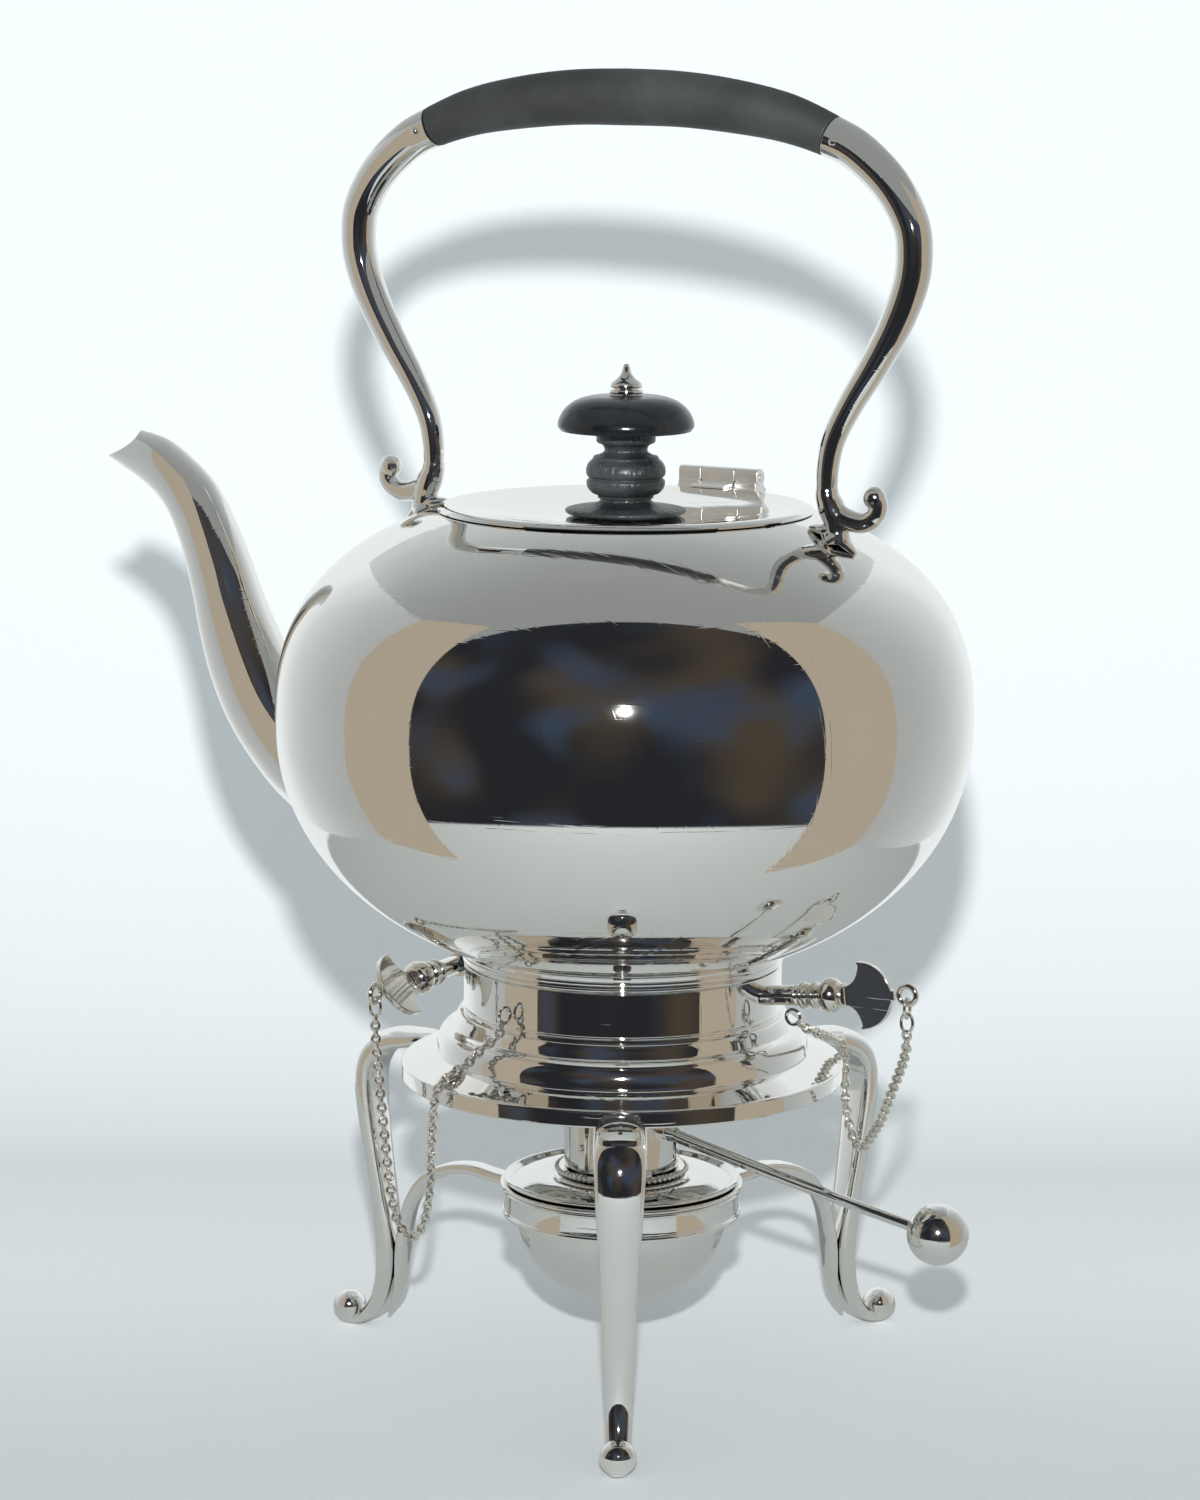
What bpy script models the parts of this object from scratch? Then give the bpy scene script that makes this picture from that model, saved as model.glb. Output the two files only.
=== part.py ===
"""Spirit kettle on a tripod stand, as an assembly of separate named pieces.

The stand's axis is vertical. The spout points to -X, the arched handle lies over the X axis,
the lid opens about a hinge on the +Y side and the floor is at z = 0.
"""
import bmesh
import bpy
from math import asin, cos, hypot, pi, radians, sin, tan, tau
from mathutils import Matrix, Vector

MM = 0.001

# Clearances and meshing
GAP = 0.3 * MM
RUN = 0.08 * MM
OVERRUN = 2 * MM
MERGE = 0.005 * MM
BIG_STEPS = 32
MID_STEPS = 20
SMALL_STEPS = 12

# Stand plate: rim, ledge, rounded shoulder and step, with an open centre under the collar
STAND_H = 80.4 * MM
PLATE_R = 57.7 * MM
PLATE_RIM_H = 4.4 * MM
LEDGE_RISE = 2.8 * MM
SHOULDER_R = 48.5 * MM
SHOULDER_H = 7.0 * MM
STEP_R = 44.2 * MM
STEP_H = 3.6 * MM
PLATE_WALL = 1.5 * MM
COLLAR_R = 41.4 * MM
COLLAR_H = 12.5 * MM
COLLAR_WALL = 1.2 * MM

# Legs and lamp arms
LEG_REACH = 31.2 * MM
LEG_T = 6.4 * MM
LEG_W = 13.2 * MM
LEG_TIP_LIFT = 1.2 * MM
ARM_T = 3.3 * MM
ARM_W = 6.0 * MM
ARM_END_H = 3.7 * MM

# Lamp ring, lamp and burner
RING_R = 31.2 * MM
RING_WALL = 2.4 * MM
RING_H = 7.4 * MM
RING_TOP = 50.7 * MM
FONT_DEPTH = 31.1 * MM
FONT_WALL = 1.0 * MM
FONT_NECK_H = 8.0 * MM
FLANGE_R = 31.9 * MM
FLANGE_T = 1.0 * MM
SHOULDER_CAP_RISE = 1.4 * MM
SHOULDER_CAP_T = 0.8 * MM
GALLERY_R = 17.7 * MM
GALLERY_T = 1.6 * MM
BURNER_R = 9.0 * MM
BURNER_WALL = 0.8 * MM
BURNER_H = 14.0 * MM
BURNER_DIP = 24.0 * MM
WICK_SHOW = 1.0 * MM
WICK_DIP = 4.0 * MM
SLEEVE_R = 15.0 * MM
SLEEVE_WALL = 0.8 * MM
SLEEVE_H = 13.8 * MM
WINDOW_H = 6.0 * MM
WINDOW_W = 6.4 * MM
WINDOW_AZ = radians(16)
STRIP_W = 2.4 * MM
STRIP_T = 0.8 * MM
STRIP_AZ = radians(-102)
SCREW_R = 0.9 * MM
SCREW_H = 0.7 * MM
LEVER_AZ = radians(-3.1)
LEVER_REACH = 94.1 * MM
LEVER_ROOT_R = 1.9 * MM
LEVER_END_R = 1.4 * MM
LEVER_DROP = 15.0 * MM
LEVER_BALL_R = 7.8 * MM

# Kettle body: a turned shell, fuller than an ellipse at the shoulder
BODY_R = 90.0 * MM
BODY_TOP_H = 59.2 * MM
BODY_BASE_H = 67.0 * MM
BODY_TOP_POWER = 2.45
BODY_BASE_POWER = 2.12
BODY_WALL = 1.2 * MM
FOOT_OVERHANG = 0.3 * MM
FOOT_H = 3.4 * MM
FOOT_WALL = 2.4 * MM
FOOT_EDGE = 0.5 * MM
LOCK_TAB_W = 10.0 * MM
LOCK_TAB_T = 1.2 * MM
LOCK_TAB_DROP = 8.6 * MM
STRAINER_R = 2.0 * MM
STRAINER_PITCH = 6.5 * MM
STRAINER_COUNT = 6
STRAINER_DROP = 24.0 * MM

# Spout
SPOUT_REACH = 161.4 * MM
SPOUT_RISE = 66.3 * MM
SPOUT_W = 34.0 * MM
SPOUT_WALL = 1.1 * MM

# Handle
HANDLE_INSET = 9.5 * MM
HANDLE_TOP = 333.6 * MM
HANDLE_T = 9.6 * MM
GRIP_T = 14.3 * MM
HANDLE_FOOT_H = 12.0 * MM
HANDLE_JOINT_GAP = 0.5 * MM
SCROLL_REACH = 13.8 * MM
SCROLL_T = 4.4 * MM
STEM_R = 2.6 * MM
STEM_BASE_R = 6.0 * MM
RIVET_R = 1.1 * MM
RIVET_H = 0.8 * MM
RIVET_SETBACK = 3.2 * MM

# Lid, its hinge and the knob
LID_FOOT_CLEAR = 3.1 * MM
LID_OVERLAP = 1.8 * MM
LID_T = 0.8 * MM
LID_RIM_W = 3.8 * MM
LID_SINK = 1.9 * MM
LID_DISH = 1.1 * MM
BEZEL_CLEAR = 0.8 * MM
BEZEL_WALL = 1.0 * MM
BEZEL_H = 3.0 * MM
BARREL_R = 2.3 * MM
LID_HINGE_SETBACK = 4.2 * MM
LID_HINGE_LIFT = 3.4 * MM
LID_HINGE_W = 23.5 * MM
LID_KNUCKLE_W = 10.0 * MM
LID_LEAF_L = 4.4 * MM
LID_LEAF_T = 1.0 * MM
LID_PIN_R = 0.9 * MM
BOLT_R = 1.3 * MM
BOLT_CLEAR = 0.12 * MM
NUT_R = 3.2 * MM
NUT_H = 2.4 * MM
KNOB_BASE_R = 15.5 * MM
KNOB_BASE_H = 4.1 * MM
KNOB_BODY_R = 10.2 * MM
KNOB_BODY_H = 16.6 * MM
KNOB_CAP_R = 17.5 * MM
KNOB_CAP_H = 9.5 * MM
FINIAL_R = 4.3 * MM
FINIAL_H = 7.6 * MM

# Pins: one turned shape for the kettle's hinge pin and for the lock pin
PIN_R = 1.4 * MM
PIN_LIFT = 105.7 * MM
HINGE_SETBACK = 5.2 * MM
KNUCKLE_R = 3.2 * MM
KNUCKLE_W = 7.0 * MM
STRAP_T = 3.2 * MM
LUG_W = 2.6 * MM
PIN_SLEEVE_R = 2.55 * MM
PIN_SLEEVE_L = 10.0 * MM
PIN_TIP = 1.2 * MM
PIN_BOSS_R = 3.45 * MM
PIN_BOSS_L = 5.2 * MM
PIN_BALL_R = 4.45 * MM
PIN_BALL_L = 6.4 * MM
PIN_DISC_R = 3.0 * MM
PIN_DISC_T = 0.9 * MM
CRESCENT_R = 8.7 * MM
CRESCENT_T = 1.8 * MM
CRESCENT_NECK_L = 4.2 * MM
CRESCENT_NECK_R = 2.5 * MM
CRESCENT_TAB_R = 1.3 * MM
CRESCENT_TAB_L = 0.9 * MM
CRESCENT_ROLL = radians(35)
EYE_R = 2.35 * MM
EYE_WIRE_R = 0.75 * MM
LINK_R = 2.5 * MM
LINK_HALF_W = 1.6 * MM
LINK_WIRE_R = 0.45 * MM
LOCK_TILT = radians(6.6)
LOCK_LIFT = 106.3 * MM
ANCHOR_R = 2.0 * MM
ANCHOR_WIRE_R = 0.5 * MM
ANCHOR_LEAN = radians(25)
LOCK_EYE_LEAN = radians(50)
HINGE_ANCHOR_AZ = radians(-103.7)
HINGE_ANCHOR_DROP = 7.6 * MM
CHAIN_R = 1.3 * MM

# Heights and radii that follow from the sizes above
RIM_TOP = STAND_H + PLATE_RIM_H
LEDGE_TOP = RIM_TOP + LEDGE_RISE
SHOULDER_TOP = LEDGE_TOP + SHOULDER_H
STEP_TOP = SHOULDER_TOP + STEP_H
COLLAR_BASE = STEP_TOP + GAP
COLLAR_TOP = COLLAR_BASE + COLLAR_H
COLLAR_BORE = COLLAR_R - COLLAR_WALL
FOOT_R = COLLAR_R + FOOT_OVERHANG
FOOT_BASE = COLLAR_TOP + GAP
LEG_TIP_Z = RIM_TOP + LEG_TIP_LIFT + GAP
FLANGE_BASE = RING_TOP + GAP
FLANGE_TOP = FLANGE_BASE + FLANGE_T
CAP_TOP = FLANGE_TOP + GAP + SHOULDER_CAP_T + SHOULDER_CAP_RISE
GALLERY_BASE = CAP_TOP + GAP
GALLERY_TOP = GALLERY_BASE + GALLERY_T
SLEEVE_BASE = GALLERY_TOP + GAP
SLEEVE_TOP = SLEEVE_BASE + SLEEVE_H
BURNER_TOP = GALLERY_TOP + BURNER_H
BURNER_BORE = BURNER_R + GAP
FONT_NECK_R = RING_R - RING_WALL - GAP
HINGE_X = -(COLLAR_R + HINGE_SETBACK)
PIN_HOLE_R = PIN_R + RUN
LID_HOLE_R = BOLT_R + BOLT_CLEAR


def body_half(share, power):
    """Height share of the body's curve where the radius is a share of the widest."""
    return (1 - share ** power) ** (1 / power)


BODY_Z = FOOT_BASE + FOOT_H + BODY_BASE_H * body_half(FOOT_R / BODY_R, BODY_BASE_POWER)


def body_under(r):
    """Height of the body's underside at radius r."""
    return BODY_Z - BODY_BASE_H * body_half(r / BODY_R, BODY_BASE_POWER)


def body_over(r):
    """Height of the body's upper surface at radius r."""
    return BODY_Z + BODY_TOP_H * body_half(r / BODY_R, BODY_TOP_POWER)


HANDLE_REACH = BODY_R - HANDLE_INSET
HANDLE_SHARES = (
    (0.711, 0.911, 1.10), (0.812, 0.869, 1.06), (0.919, 0.789, 1.02), (0.985, 0.698, 0.98),
    (1.000, 0.620, 0.96), (0.989, 0.540, 0.94), (0.945, 0.443, 0.89), (0.875, 0.336, 0.80),
    (0.791, 0.225, 0.70), (0.737, 0.137, 0.64), (0.717, 0.064, 0.60), (0.714, 0.0, 0.56),
)
GRIP_SHARES = ((0, 1, 1), (0.185, 0.997, 0.979), (0.370, 0.982, 0.937), (0.555, 0.955, 0.853))
HANDLE_FOOT_X = HANDLE_SHARES[-1][0] * HANDLE_REACH
LID_R = HANDLE_FOOT_X - STEM_BASE_R - LID_FOOT_CLEAR
MOUTH_R = LID_R - LID_OVERLAP
MOUTH_Z = body_over(MOUTH_R)
LID_BASE = MOUTH_Z + GAP
LID_EDGE_TOP = LID_BASE + LID_T
LID_FIELD_R = LID_R - LID_RIM_W
LID_TOP = LID_EDGE_TOP - LID_SINK - LID_DISH
LID_HINGE_Y = LID_R + LID_HINGE_SETBACK
LID_HINGE_Z = LID_EDGE_TOP + LID_HINGE_LIFT - LID_T
KNOB_BASE_Z = LID_TOP + GAP
KNOB_BODY_Z = KNOB_BASE_Z + KNOB_BASE_H + GAP
KNOB_CAP_Z = KNOB_BODY_Z + KNOB_BODY_H + GAP
FINIAL_Z = KNOB_CAP_Z + KNOB_CAP_H + GAP
HANDLE_FOOT_TOP = body_over(HANDLE_FOOT_X) + HANDLE_FOOT_H
STAND_X = (SPOUT_REACH - LEVER_REACH * cos(LEVER_AZ) - LEVER_BALL_R) / 2

HINGE_PIN_LINKS = 1
LOCK_PIN_LINKS = 2

# Pin stations along each pin's axis, from the end of its sleeve outwards
BOSS_END = GAP + PIN_BOSS_L
BALL_END = BOSS_END + PIN_BALL_L
DISC_END = BALL_END + PIN_DISC_T
CRESCENT_START = DISC_END + GAP
CRESCENT_CENTRE = CRESCENT_START + CRESCENT_NECK_L
CRESCENT_END = CRESCENT_CENTRE + CRESCENT_R + CRESCENT_TAB_L
EYE_STATION = CRESCENT_END + GAP + EYE_WIRE_R + EYE_R
LINK_DROP = EYE_R - EYE_WIRE_R - LINK_WIRE_R - GAP + LINK_R
LINK_PITCH = 2 * (LINK_R - LINK_WIRE_R) - GAP
LUG_INNER = KNUCKLE_W / 2 + GAP
LUG_OUTER = LUG_INNER + LUG_W
HINGE_PIN_STATION = LUG_OUTER + GAP + PIN_SLEEVE_L
LOCK_SLEEVE_START = GAP + PIN_SLEEVE_R * sin(LOCK_TILT)
LOCK_PIN_STATION = LOCK_SLEEVE_START + PIN_SLEEVE_L

MATERIALS = {
    "silver_kettle": ((0.88, 0.87, 0.84), 0.10, 1.0),
    "silver_stand": ((0.86, 0.85, 0.82), 0.12, 1.0),
    "silver_lamp": ((0.85, 0.84, 0.81), 0.14, 1.0),
    "silver_pin": ((0.85, 0.84, 0.80), 0.16, 1.0),
    "gloss_ebony": ((0.015, 0.015, 0.017), 0.18, 0.0),
    "matt_grip": ((0.030, 0.032, 0.033), 0.50, 0.0),
    "cotton_wick": ((0.85, 0.82, 0.72), 0.90, 0.0),
}

# Place of each moving body's pivot, in the stand's frame, with the body that carries it
PIVOTS = {
    "stand": ((0, 0, 0), None),
    "kettle": ((HINGE_X, 0, PIN_LIFT), "stand"),
    "lid": ((0, LID_HINGE_Y, LID_HINGE_Z), "kettle"),
    "hinge_pin": ((HINGE_X, 0, PIN_LIFT), "stand"),
    "lock_pin": ((COLLAR_R, 0, LOCK_LIFT), "stand"),
    "lamp": ((0, 0, RING_TOP), "stand"),
    "regulator": ((0, 0, SLEEVE_BASE), "lamp"),
}


def clear_scene():
    for obj in list(bpy.data.objects):
        bpy.data.objects.remove(obj, do_unlink=True)


def new_collection(name):
    collection = bpy.data.collections.new(name)
    bpy.context.scene.collection.children.link(collection)
    return collection


def make_materials():
    for name, (colour, roughness, metallic) in MATERIALS.items():
        material = bpy.data.materials.new(name)
        material.use_nodes = True
        shader = material.node_tree.nodes["Principled BSDF"]
        shader.inputs["Base Color"].default_value = (*colour, 1)
        shader.inputs["Roughness"].default_value = roughness
        shader.inputs["Metallic"].default_value = metallic
        material.diffuse_color = (*colour, 1)


def make_pivots():
    for name, (place, carrier) in PIVOTS.items():
        empty = bpy.data.objects.new(name + "_pivot", None)
        PARTS.objects.link(empty)
        if carrier is None:
            empty.location = Vector((STAND_X, 0, 0)) + Vector(place)
        else:
            empty.parent = bpy.data.objects[carrier + "_pivot"]
            empty.location = Vector(place) - Vector(PIVOTS[carrier][0])


def link(obj, collection, body, material, location=(0, 0, 0), rotation=None):
    """Hang an object on its body's pivot, with its place given in the stand's frame."""
    for old in list(obj.users_collection):
        old.objects.unlink(obj)
    collection.objects.link(obj)
    obj.parent = bpy.data.objects[body + "_pivot"]
    obj.location = Vector(location) - Vector(PIVOTS[body][0])
    if rotation is not None:
        obj.rotation_euler = rotation.to_euler()
    if material is not None:
        obj.data.materials.clear()
        obj.data.materials.append(bpy.data.materials[material])
    return obj


def part(obj, body, material, location=(0, 0, 0), rotation=None):
    return link(obj, PARTS, body, material, location, rotation)


def cutter(obj, body, location=(0, 0, 0), rotation=None):
    link(obj, CUTTERS, body, None, location, rotation)
    obj.hide_render = True
    obj.display_type = "WIRE"
    return obj


def combine(target, tool, operation):
    modifier = target.modifiers.new(operation.title(), "BOOLEAN")
    modifier.operation = operation
    modifier.solver = "EXACT"
    modifier.object = tool


def mesh_object(name, bm):
    mesh = bpy.data.meshes.new(name)
    bm.to_mesh(mesh)
    bm.free()
    mesh.shade_smooth()
    mesh.set_sharp_from_angle(angle=radians(35))
    return bpy.data.objects.new(name, mesh)


def turned(name, profile, steps):
    """Turn a profile of (radius, height) points, which runs down its outer side and is closed
    either by its last edge or by the axis."""
    count = len(profile)
    edges = [(i, i + 1) for i in range(count - 1)]
    if profile[0][0] > 0 or profile[-1][0] > 0:
        edges.append((count - 1, 0))
    mesh = bpy.data.meshes.new(name)
    mesh.from_pydata([(r, 0, z) for r, z in profile], edges, [])
    obj = bpy.data.objects.new(name, mesh)
    screw = obj.modifiers.new("Turn", "SCREW")
    screw.steps = steps
    screw.render_steps = steps
    screw.use_merge_vertices = True
    screw.merge_threshold = MERGE
    return obj


def rod(name, r, length, steps, r_end=None):
    """A cylinder or cone along local Z from its origin, with radius r there."""
    bm = bmesh.new()
    bmesh.ops.create_cone(bm, cap_ends=True, segments=steps, radius1=r,
                          radius2=r if r_end is None else r_end, depth=length)
    bmesh.ops.translate(bm, verts=bm.verts, vec=(0, 0, length / 2))
    return mesh_object(name, bm)


def box(name, size):
    bm = bmesh.new()
    bmesh.ops.create_cube(bm, size=1)
    bmesh.ops.scale(bm, vec=size, verts=bm.verts)
    return mesh_object(name, bm)


def ball(name, r, steps):
    bm = bmesh.new()
    bmesh.ops.create_uvsphere(bm, u_segments=steps, v_segments=steps // 2, radius=r)
    return mesh_object(name, bm)


def torus(name, r, wire_r, steps=12, sides=6):
    bpy.ops.mesh.primitive_torus_add(major_segments=steps, minor_segments=sides, major_radius=r,
                                     minor_radius=wire_r)
    obj = bpy.context.active_object
    obj.name = name
    obj.data.name = name
    obj.data.shade_smooth()
    return obj


def smooth(rows, per_span):
    """Rows of numbers read from a Catmull-Rom curve through the given rows."""
    padded = [rows[0], *rows, rows[-1]]
    out = []
    for quad in zip(padded, padded[1:], padded[2:], padded[3:]):
        for i in range(per_span):
            t = i / per_span
            weights = (-t + 2 * t ** 2 - t ** 3, 2 - 5 * t ** 2 + 3 * t ** 3,
                       t + 4 * t ** 2 - 3 * t ** 3, t ** 3 - t ** 2)
            out.append(tuple(sum(w * v for w, v in zip(weights, values)) / 2
                             for values in zip(*quad)))
    out.append(tuple(rows[-1]))
    return out


def tube(name, rows, resolution):
    """A round tube through rows of (x, y, z, radius)."""
    curve = bpy.data.curves.new(name, "CURVE")
    curve.dimensions = "3D"
    curve.bevel_depth = 1
    curve.bevel_resolution = resolution
    curve.use_fill_caps = True
    curve.render_resolution_u = 0
    spline = curve.splines.new("POLY")
    spline.points.add(len(rows) - 1)
    for point, (x, y, z, r) in zip(spline.points, rows):
        point.co = (x, y, z, 1)
        point.radius = r
    return bpy.data.objects.new(name, curve)


def sheet(name, loops, thickness):
    """A flat plate in the local XY plane from closed outlines, the later ones as holes."""
    curve = bpy.data.curves.new(name, "CURVE")
    curve.dimensions = "2D"
    curve.fill_mode = "BOTH"
    curve.extrude = thickness / 2
    curve.render_resolution_u = 0
    for loop in loops:
        spline = curve.splines.new("POLY")
        spline.points.add(len(loop) - 1)
        for point, (x, y) in zip(spline.points, loop):
            point.co = (x, y, 0, 1)
        spline.use_cyclic_u = True
    return bpy.data.objects.new(name, curve)


def as_mesh(obj):
    """Turn a curve object that hangs on a pivot into a welded mesh object."""
    bpy.context.view_layer.update()
    graph = bpy.context.evaluated_depsgraph_get()
    mesh = bpy.data.meshes.new_from_object(obj.evaluated_get(graph))
    bm = bmesh.new()
    bm.from_mesh(mesh)
    bmesh.ops.remove_doubles(bm, verts=bm.verts, dist=MERGE)
    bmesh.ops.recalc_face_normals(bm, faces=bm.faces)
    bm.to_mesh(mesh)
    bm.free()
    name = obj.name
    solid = bpy.data.objects.new(name + "_solid", mesh)
    for collection in obj.users_collection:
        collection.objects.link(solid)
    solid.parent = obj.parent
    solid.matrix_world = obj.matrix_world.copy()
    bpy.data.objects.remove(obj, do_unlink=True)
    solid.name = name
    return solid


def loft(name, rings, capped=True):
    """A skin over rings of points, from the first ring to the last."""
    bm = bmesh.new()
    loops = [[bm.verts.new(point) for point in ring] for ring in rings]
    for low, high in zip(loops, loops[1:]):
        for i in range(len(low)):
            j = (i + 1) % len(low)
            bm.faces.new((low[i], low[j], high[j], high[i]))
    if capped:
        bm.faces.new(loops[0])
        bm.faces.new(loops[-1])
    bmesh.ops.recalc_face_normals(bm, faces=bm.faces)
    return mesh_object(name, bm)


def tangents(rows):
    """Unit direction of a path of (r, z, ...) rows at each row."""
    out = []
    for i in range(len(rows)):
        a = rows[max(i - 1, 0)]
        b = rows[min(i + 1, len(rows) - 1)]
        length = hypot(b[0] - a[0], b[1] - a[1])
        out.append(((b[0] - a[0]) / length, (b[1] - a[1]) / length))
    return out


# Half-round section of the legs and lamp arms: outward share, sideways share
STRAP_SECTION_SHARES = ((1, 0), (0.82, 0.52), (0.30, 0.92), (-0.45, 1), (-1, 0.62), (-1, -0.62),
                        (-0.45, -1), (0.30, -0.92), (0.82, -0.52))


def strap_rings(rows):
    """Rings of the half-round section along rows of (r, z, half thickness, half width)."""
    rings = []
    for (r, z, t, w), (dr, dz) in zip(rows, tangents(rows)):
        rings.append([(r - dz * u * t, v * w, z + dr * u * t) for u, v in STRAP_SECTION_SHARES])
    return rings


# Leg: share of the reach past the rim, of the tip's height, of the thickness, of the width
LEG_SHARES = (
    (-0.013, 1.000, 0.19, 0.18), (0.074, 0.995, 0.41, 0.55), (0.218, 0.980, 0.75, 0.82),
    (0.410, 0.957, 0.94, 0.95), (0.587, 0.911, 1.00, 1.00), (0.673, 0.829, 0.97, 0.95),
    (0.663, 0.718, 0.91, 0.88), (0.619, 0.603, 0.87, 0.76), (0.564, 0.475, 0.87, 0.67),
    (0.519, 0.359, 0.94, 0.61), (0.497, 0.255, 0.97, 0.55), (0.522, 0.156, 0.91, 0.48),
    (0.606, 0.075, 0.81, 0.48), (0.728, 0.021, 0.72, 0.55), (0.849, 0.026, 0.62, 0.64),
    (0.933, 0.060, 0.53, 0.68), (0.913, 0.093, 0.47, 0.67), (0.837, 0.100, 0.44, 0.61),
)
# Rows of the leg that the lamp arm lies against, from the foot up
LEG_ARM_ROWS = (12, 11, 10)
# Free stretch of the lamp arm: share of the way from the ring to the leg, share of the climb
ARM_SHARES = ((0.973, 0.28), (0.913, 0.60), (0.790, 0.86), (0.613, 1.008), (0.409, 1.060),
              (0.218, 1.022), (0.090, 1.004), (0.0, 1.0))
LEG_AZIMUTHS = (("spout", radians(178.8)), ("front", radians(-61.3)), ("rear", radians(63.2)))


def leg_rows():
    return [(PLATE_R + r * LEG_REACH, z * LEG_TIP_Z, t * LEG_T / 2, w * LEG_W / 2)
            for r, z, t, w in LEG_SHARES]


def make_legs():
    rows = smooth(leg_rows(), 2)
    for side, azimuth in LEG_AZIMUTHS:
        leg = loft("leg_" + side, strap_rings(rows))
        bm = bmesh.new()
        bm.from_mesh(leg.data)
        cut = bmesh.ops.bisect_plane(bm, geom=[*bm.verts, *bm.edges, *bm.faces], plane_co=(0, 0, 0),
                                     plane_no=(0, 0, 1), clear_inner=True)
        rim = [item for item in cut["geom_cut"] if isinstance(item, bmesh.types.BMEdge)]
        bmesh.ops.holes_fill(bm, edges=rim)
        bm.to_mesh(leg.data)
        bm.free()
        part(leg, "stand", "silver_stand", rotation=Matrix.Rotation(azimuth, 3, "Z"))


def make_lamp_arms():
    leg = leg_rows()
    directions = tangents(leg)
    rows = []
    for i in LEG_ARM_ROWS:
        r, z, t, _ = leg[i]
        dr, dz = directions[i]
        offset = t + GAP + ARM_T / 2
        rows.append((r + dz * offset, z - dr * offset, ARM_T / 2, ARM_W / 2))
    start_r, start_z = rows[-1][:2]
    end_r = RING_R + GAP
    end_z = RING_TOP - RING_H / 2
    for r, z in ARM_SHARES:
        t = ARM_END_H / 2 if r == 0 else ARM_T / 2
        rows.append((end_r + r * (start_r - end_r), start_z + z * (end_z - start_z), t, ARM_W / 2))
    for side, azimuth in LEG_AZIMUTHS:
        arm = loft("lamp_arm_" + side, strap_rings(smooth(rows, 2)))
        part(arm, "stand", "silver_stand", rotation=Matrix.Rotation(azimuth, 3, "Z"))


def make_plate():
    outer = [(COLLAR_BORE, STEP_TOP), (STEP_R, STEP_TOP)]
    for i in range(4):
        t = pi / 2 * (1 - i / 3)
        outer.append((STEP_R + (SHOULDER_R - STEP_R) * cos(t), LEDGE_TOP + SHOULDER_H * sin(t)))
    outer += [(PLATE_R, RIM_TOP), (PLATE_R, STAND_H)]
    inner = [(r - PLATE_WALL, z - PLATE_WALL) for r, z in reversed(outer[1:-1])]
    profile = [*outer, (PLATE_R - PLATE_WALL, STAND_H), *inner, (COLLAR_BORE, STEP_TOP - PLATE_WALL)]
    part(turned("stand_plate", profile, BIG_STEPS), "stand", "silver_stand")


def lock_frame():
    """Turn that takes local Z along the lock pin's axis and local X upwards."""
    return Matrix.Rotation(pi / 2 - LOCK_TILT, 3, "Y")


def make_collar():
    profile = [(COLLAR_R, COLLAR_TOP), (COLLAR_R, COLLAR_BASE), (COLLAR_BORE, COLLAR_BASE),
               (COLLAR_BORE, COLLAR_TOP)]
    collar = part(turned("stand_collar", profile, BIG_STEPS), "stand", "silver_stand")
    depth = COLLAR_WALL + OVERRUN
    hole = cutter(rod("lock_hole_cutter", PIN_HOLE_R + GAP, depth + OVERRUN, SMALL_STEPS), "stand",
                  (COLLAR_R - depth, 0, LOCK_LIFT), lock_frame())
    combine(collar, hole, "DIFFERENCE")


def make_lamp_ring():
    inner = RING_R - RING_WALL
    base = RING_TOP - RING_H
    profile = [(RING_R, RING_TOP), (RING_R, base), (inner, base), (inner, RING_TOP)]
    part(turned("lamp_ring", profile, BIG_STEPS), "stand", "silver_stand")


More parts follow.
